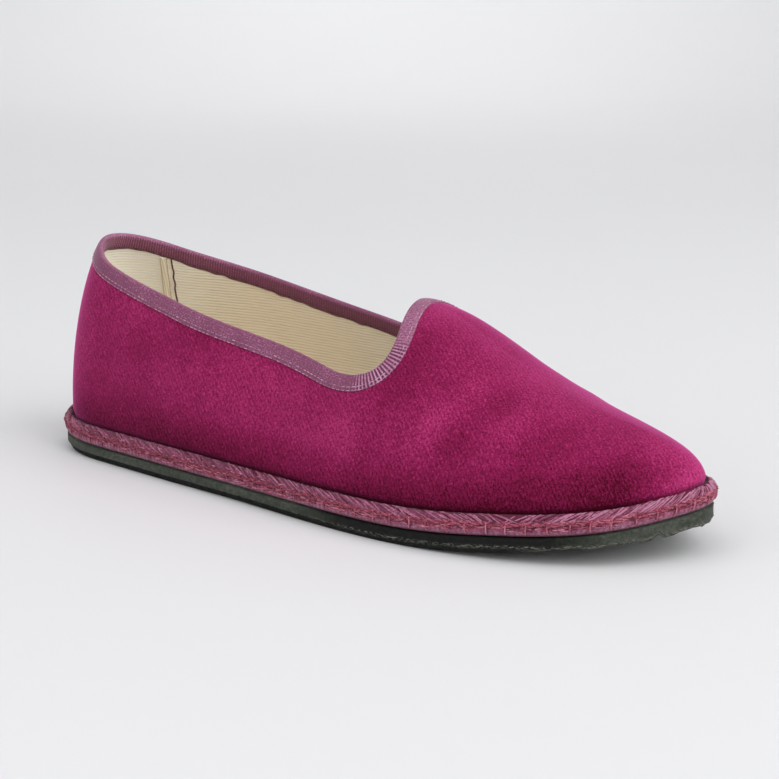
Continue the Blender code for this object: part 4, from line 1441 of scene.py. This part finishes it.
def add_outsole():
    loop = edge_loop(RUBBER_COLUMNS)
    top = outsole_top(loop.x)
    torn_part = smooth_part(loop.x, *TORN_START)
    rag = 0.6 * wander(loop.way, 1.1, 31) + 0.4 * wander(loop.way, 3.7, 32)
    rag = TORN_DEPTH * (0.3 + 0.7 * torn_part) * rag
    notch_way, notch_half, notch_depth = NOTCH
    to_tip = loop.way[loop.half] - loop.way
    tip = smooth_part(loop.x, *TIP_TORN_REACH)
    low = sole_bottom(loop.x) + notch_depth * np.exp(-((to_tip - notch_way) / notch_half) ** 4)
    low = low - TIP_HANG * smooth_part(loop.x, *TIP_HANG_REACH) + TIP_TORN * tip * wander(loop.way, 2.4, 34)
    lip = low + UNDERCUT * (1 - 0.5 * tip) * (top - low)
    profile = [  # inset from the outsole's edge, and height
        (0.8 * OUTSOLE_BEVEL, low),
        (0.55 * OUTSOLE_BEVEL + 0.3 * rag, low + 0.4 * (lip - low)),
        (0.4 * OUTSOLE_BEVEL + 0.5 * rag, lip - 0.3 + 0.5 * rag),
        (0.5 * rag, lip + 0.5 * rag),
        (0.1 + 0.3 * rag, lip + 0.3 + 0.5 * rag),
    ]
    for part in FACE_PARTS:
        profile.append((0.15 + FACE_WAVE * wander(loop.way + 40 * part, 2.5, 33), lip + part * (top - lip)))
    profile += [(0.9 * TOP_INSET, top - 0.3), (TOP_INSET, top)]
    rings = [loop_points(loop, OUTSOLE_INSET + inset, height) for inset, height in profile]

    def top_height(x, y, share):
        return outsole_top(x)

    def bottom_height(x, y, share):
        groove = np.cos(2 * math.pi * x / TREAD_PITCH) * np.cos(2 * math.pi * y / TREAD_PITCH)
        inside = smooth_part(np.minimum(share, 1 - share), 0.0, TREAD_EDGE)
        return sole_bottom(x) + TREAD_DEPTH * smooth_part(groove, *TREAD_STEP) * inside

    points, faces = capped_plate(rings, loop.half, RUBBER_ACROSS, top_height, bottom_height)
    torn = np.zeros(len(points))
    count = 2 * loop.half
    for ring, amount in enumerate((0.7 * tip, 0.5 * tip, 0.4, 1.0, 0.2)):
        torn[ring * count:(ring + 1) * count] = amount * torn_part
    # tone of the rubber: a lighter cut edge, darker below the ball, and painted shade on the undercut
    wear = EDGE_WEAR + BALL_DARKER * between(points[:, 0], *BALL_DARKER_REACH)
    wear[:UNDERCUT_RINGS * count] = np.tile(UNDERCUT_SHADE * (1 - tip), UNDERCUT_RINGS)
    add_piece("outsole_rubber", points, faces, rubber_material(), "rubber", "outsole", torn=torn, wear=wear)


def add_insole():
    loop = edge_loop(INSOLE_COLUMNS)
    ledge = upper_base(loop.x)
    rings = [
        loop_points(loop, INSOLE_INSET, welt_base(loop.x)),
        loop_points(loop, INSOLE_INSET, ledge),
        loop_points(loop, INSOLE_FLANGE_INSET, ledge),
        loop_points(loop, INSOLE_FLANGE_INSET, ledge + 0.6 * INSOLE_FLANGE),
        loop_points(loop, INSOLE_FLANGE_INSET + 0.5, ledge + INSOLE_FLANGE),
    ]

    def top_height(x, y, share):
        return upper_base(x) + INSOLE_FLANGE - INSOLE_DISH * np.sin(math.pi * share)

    def bottom_height(x, y, share):
        return welt_base(x)

    points, faces = capped_plate(rings, loop.half, INSOLE_ACROSS, top_height, bottom_height)
    add_piece("insole_cover", points, faces, canvas_material("insole_canvas"), "insole_canvas", "insole",
              weave=weave_ways(points[:, 1], points[:, 0]))


# Stage

def put(thing, place, aim):
    """Place a lamp or the camera and turn it to its aim."""
    thing.location = place
    thing.rotation_euler = (Vector(aim) - Vector(place)).to_track_quat("-Z", "Y").to_euler()


def add_floor():
    """A pale floor that rises into a round wall."""
    bend = np.linspace(0, math.pi / 2, BOWL_STEPS)
    edge = FLOOR_RADIUS + BOWL_ROUND
    radii = np.concatenate([FLOOR_RINGS, FLOOR_RADIUS + BOWL_ROUND * np.sin(bend), [edge]])[:, None]
    heights = np.concatenate([[0.0, 0.0], BOWL_ROUND * (1 - np.cos(bend)), [BOWL_TOP]])[:, None]
    turns = 2 * math.pi * np.arange(FLOOR_SECTORS) / FLOOR_SECTORS
    rings = np.stack([radii * np.cos(turns), radii * np.sin(turns), heights + 0 * turns], -1)
    numbers = 1 + np.arange(rings[..., 0].size).reshape(rings.shape[:2])
    faces = [(0, *pair) for pair in zip(numbers[0], np.roll(numbers[0], -1))]
    faces.extend(ring_quads(numbers))
    points = np.concatenate([np.zeros((1, 3)), rings.reshape(-1, 3)])
    new_object("floor", points, faces, floor_material())


def add_lights():
    for lamp in LAMPS:
        data = bpy.data.lights.new(lamp.name, "AREA")
        data.size = lamp.size
        data.energy = lamp.power
        data.spread = math.radians(lamp.spread)
        put(linked_object(lamp.name, data), lamp.place, lamp.aim)
    world = bpy.data.worlds.new("studio")
    world.use_nodes = True
    sky = world.node_tree.nodes["Background"].inputs
    sky["Color"].default_value = SKY
    sky["Strength"].default_value = SKY_STRENGTH
    bpy.context.scene.world = world


def add_camera():
    data = bpy.data.cameras.new("camera")
    data.lens = CAMERA_LENS
    data.sensor_width = CAMERA_SENSOR
    camera = linked_object("camera", data)
    put(camera, CAMERA_PLACE, CAMERA_AIM)
    bpy.context.scene.camera = camera


def main():
    surface = upper_surface()
    add_upper(surface)
    add_lining(surface)
    collar = collar_loop()
    add_ribbon(collar)
    add_ribbon_stitches(collar)
    add_lining_seams()
    face = welt_face()
    add_welt(face)
    add_welt_strands(face)
    add_welt_tufts(face)
    add_welt_stitches(face)
    add_outsole()
    add_insole()
    add_floor()
    add_lights()
    add_camera()
    bpy.context.scene.view_settings.view_transform = "Standard"


main()
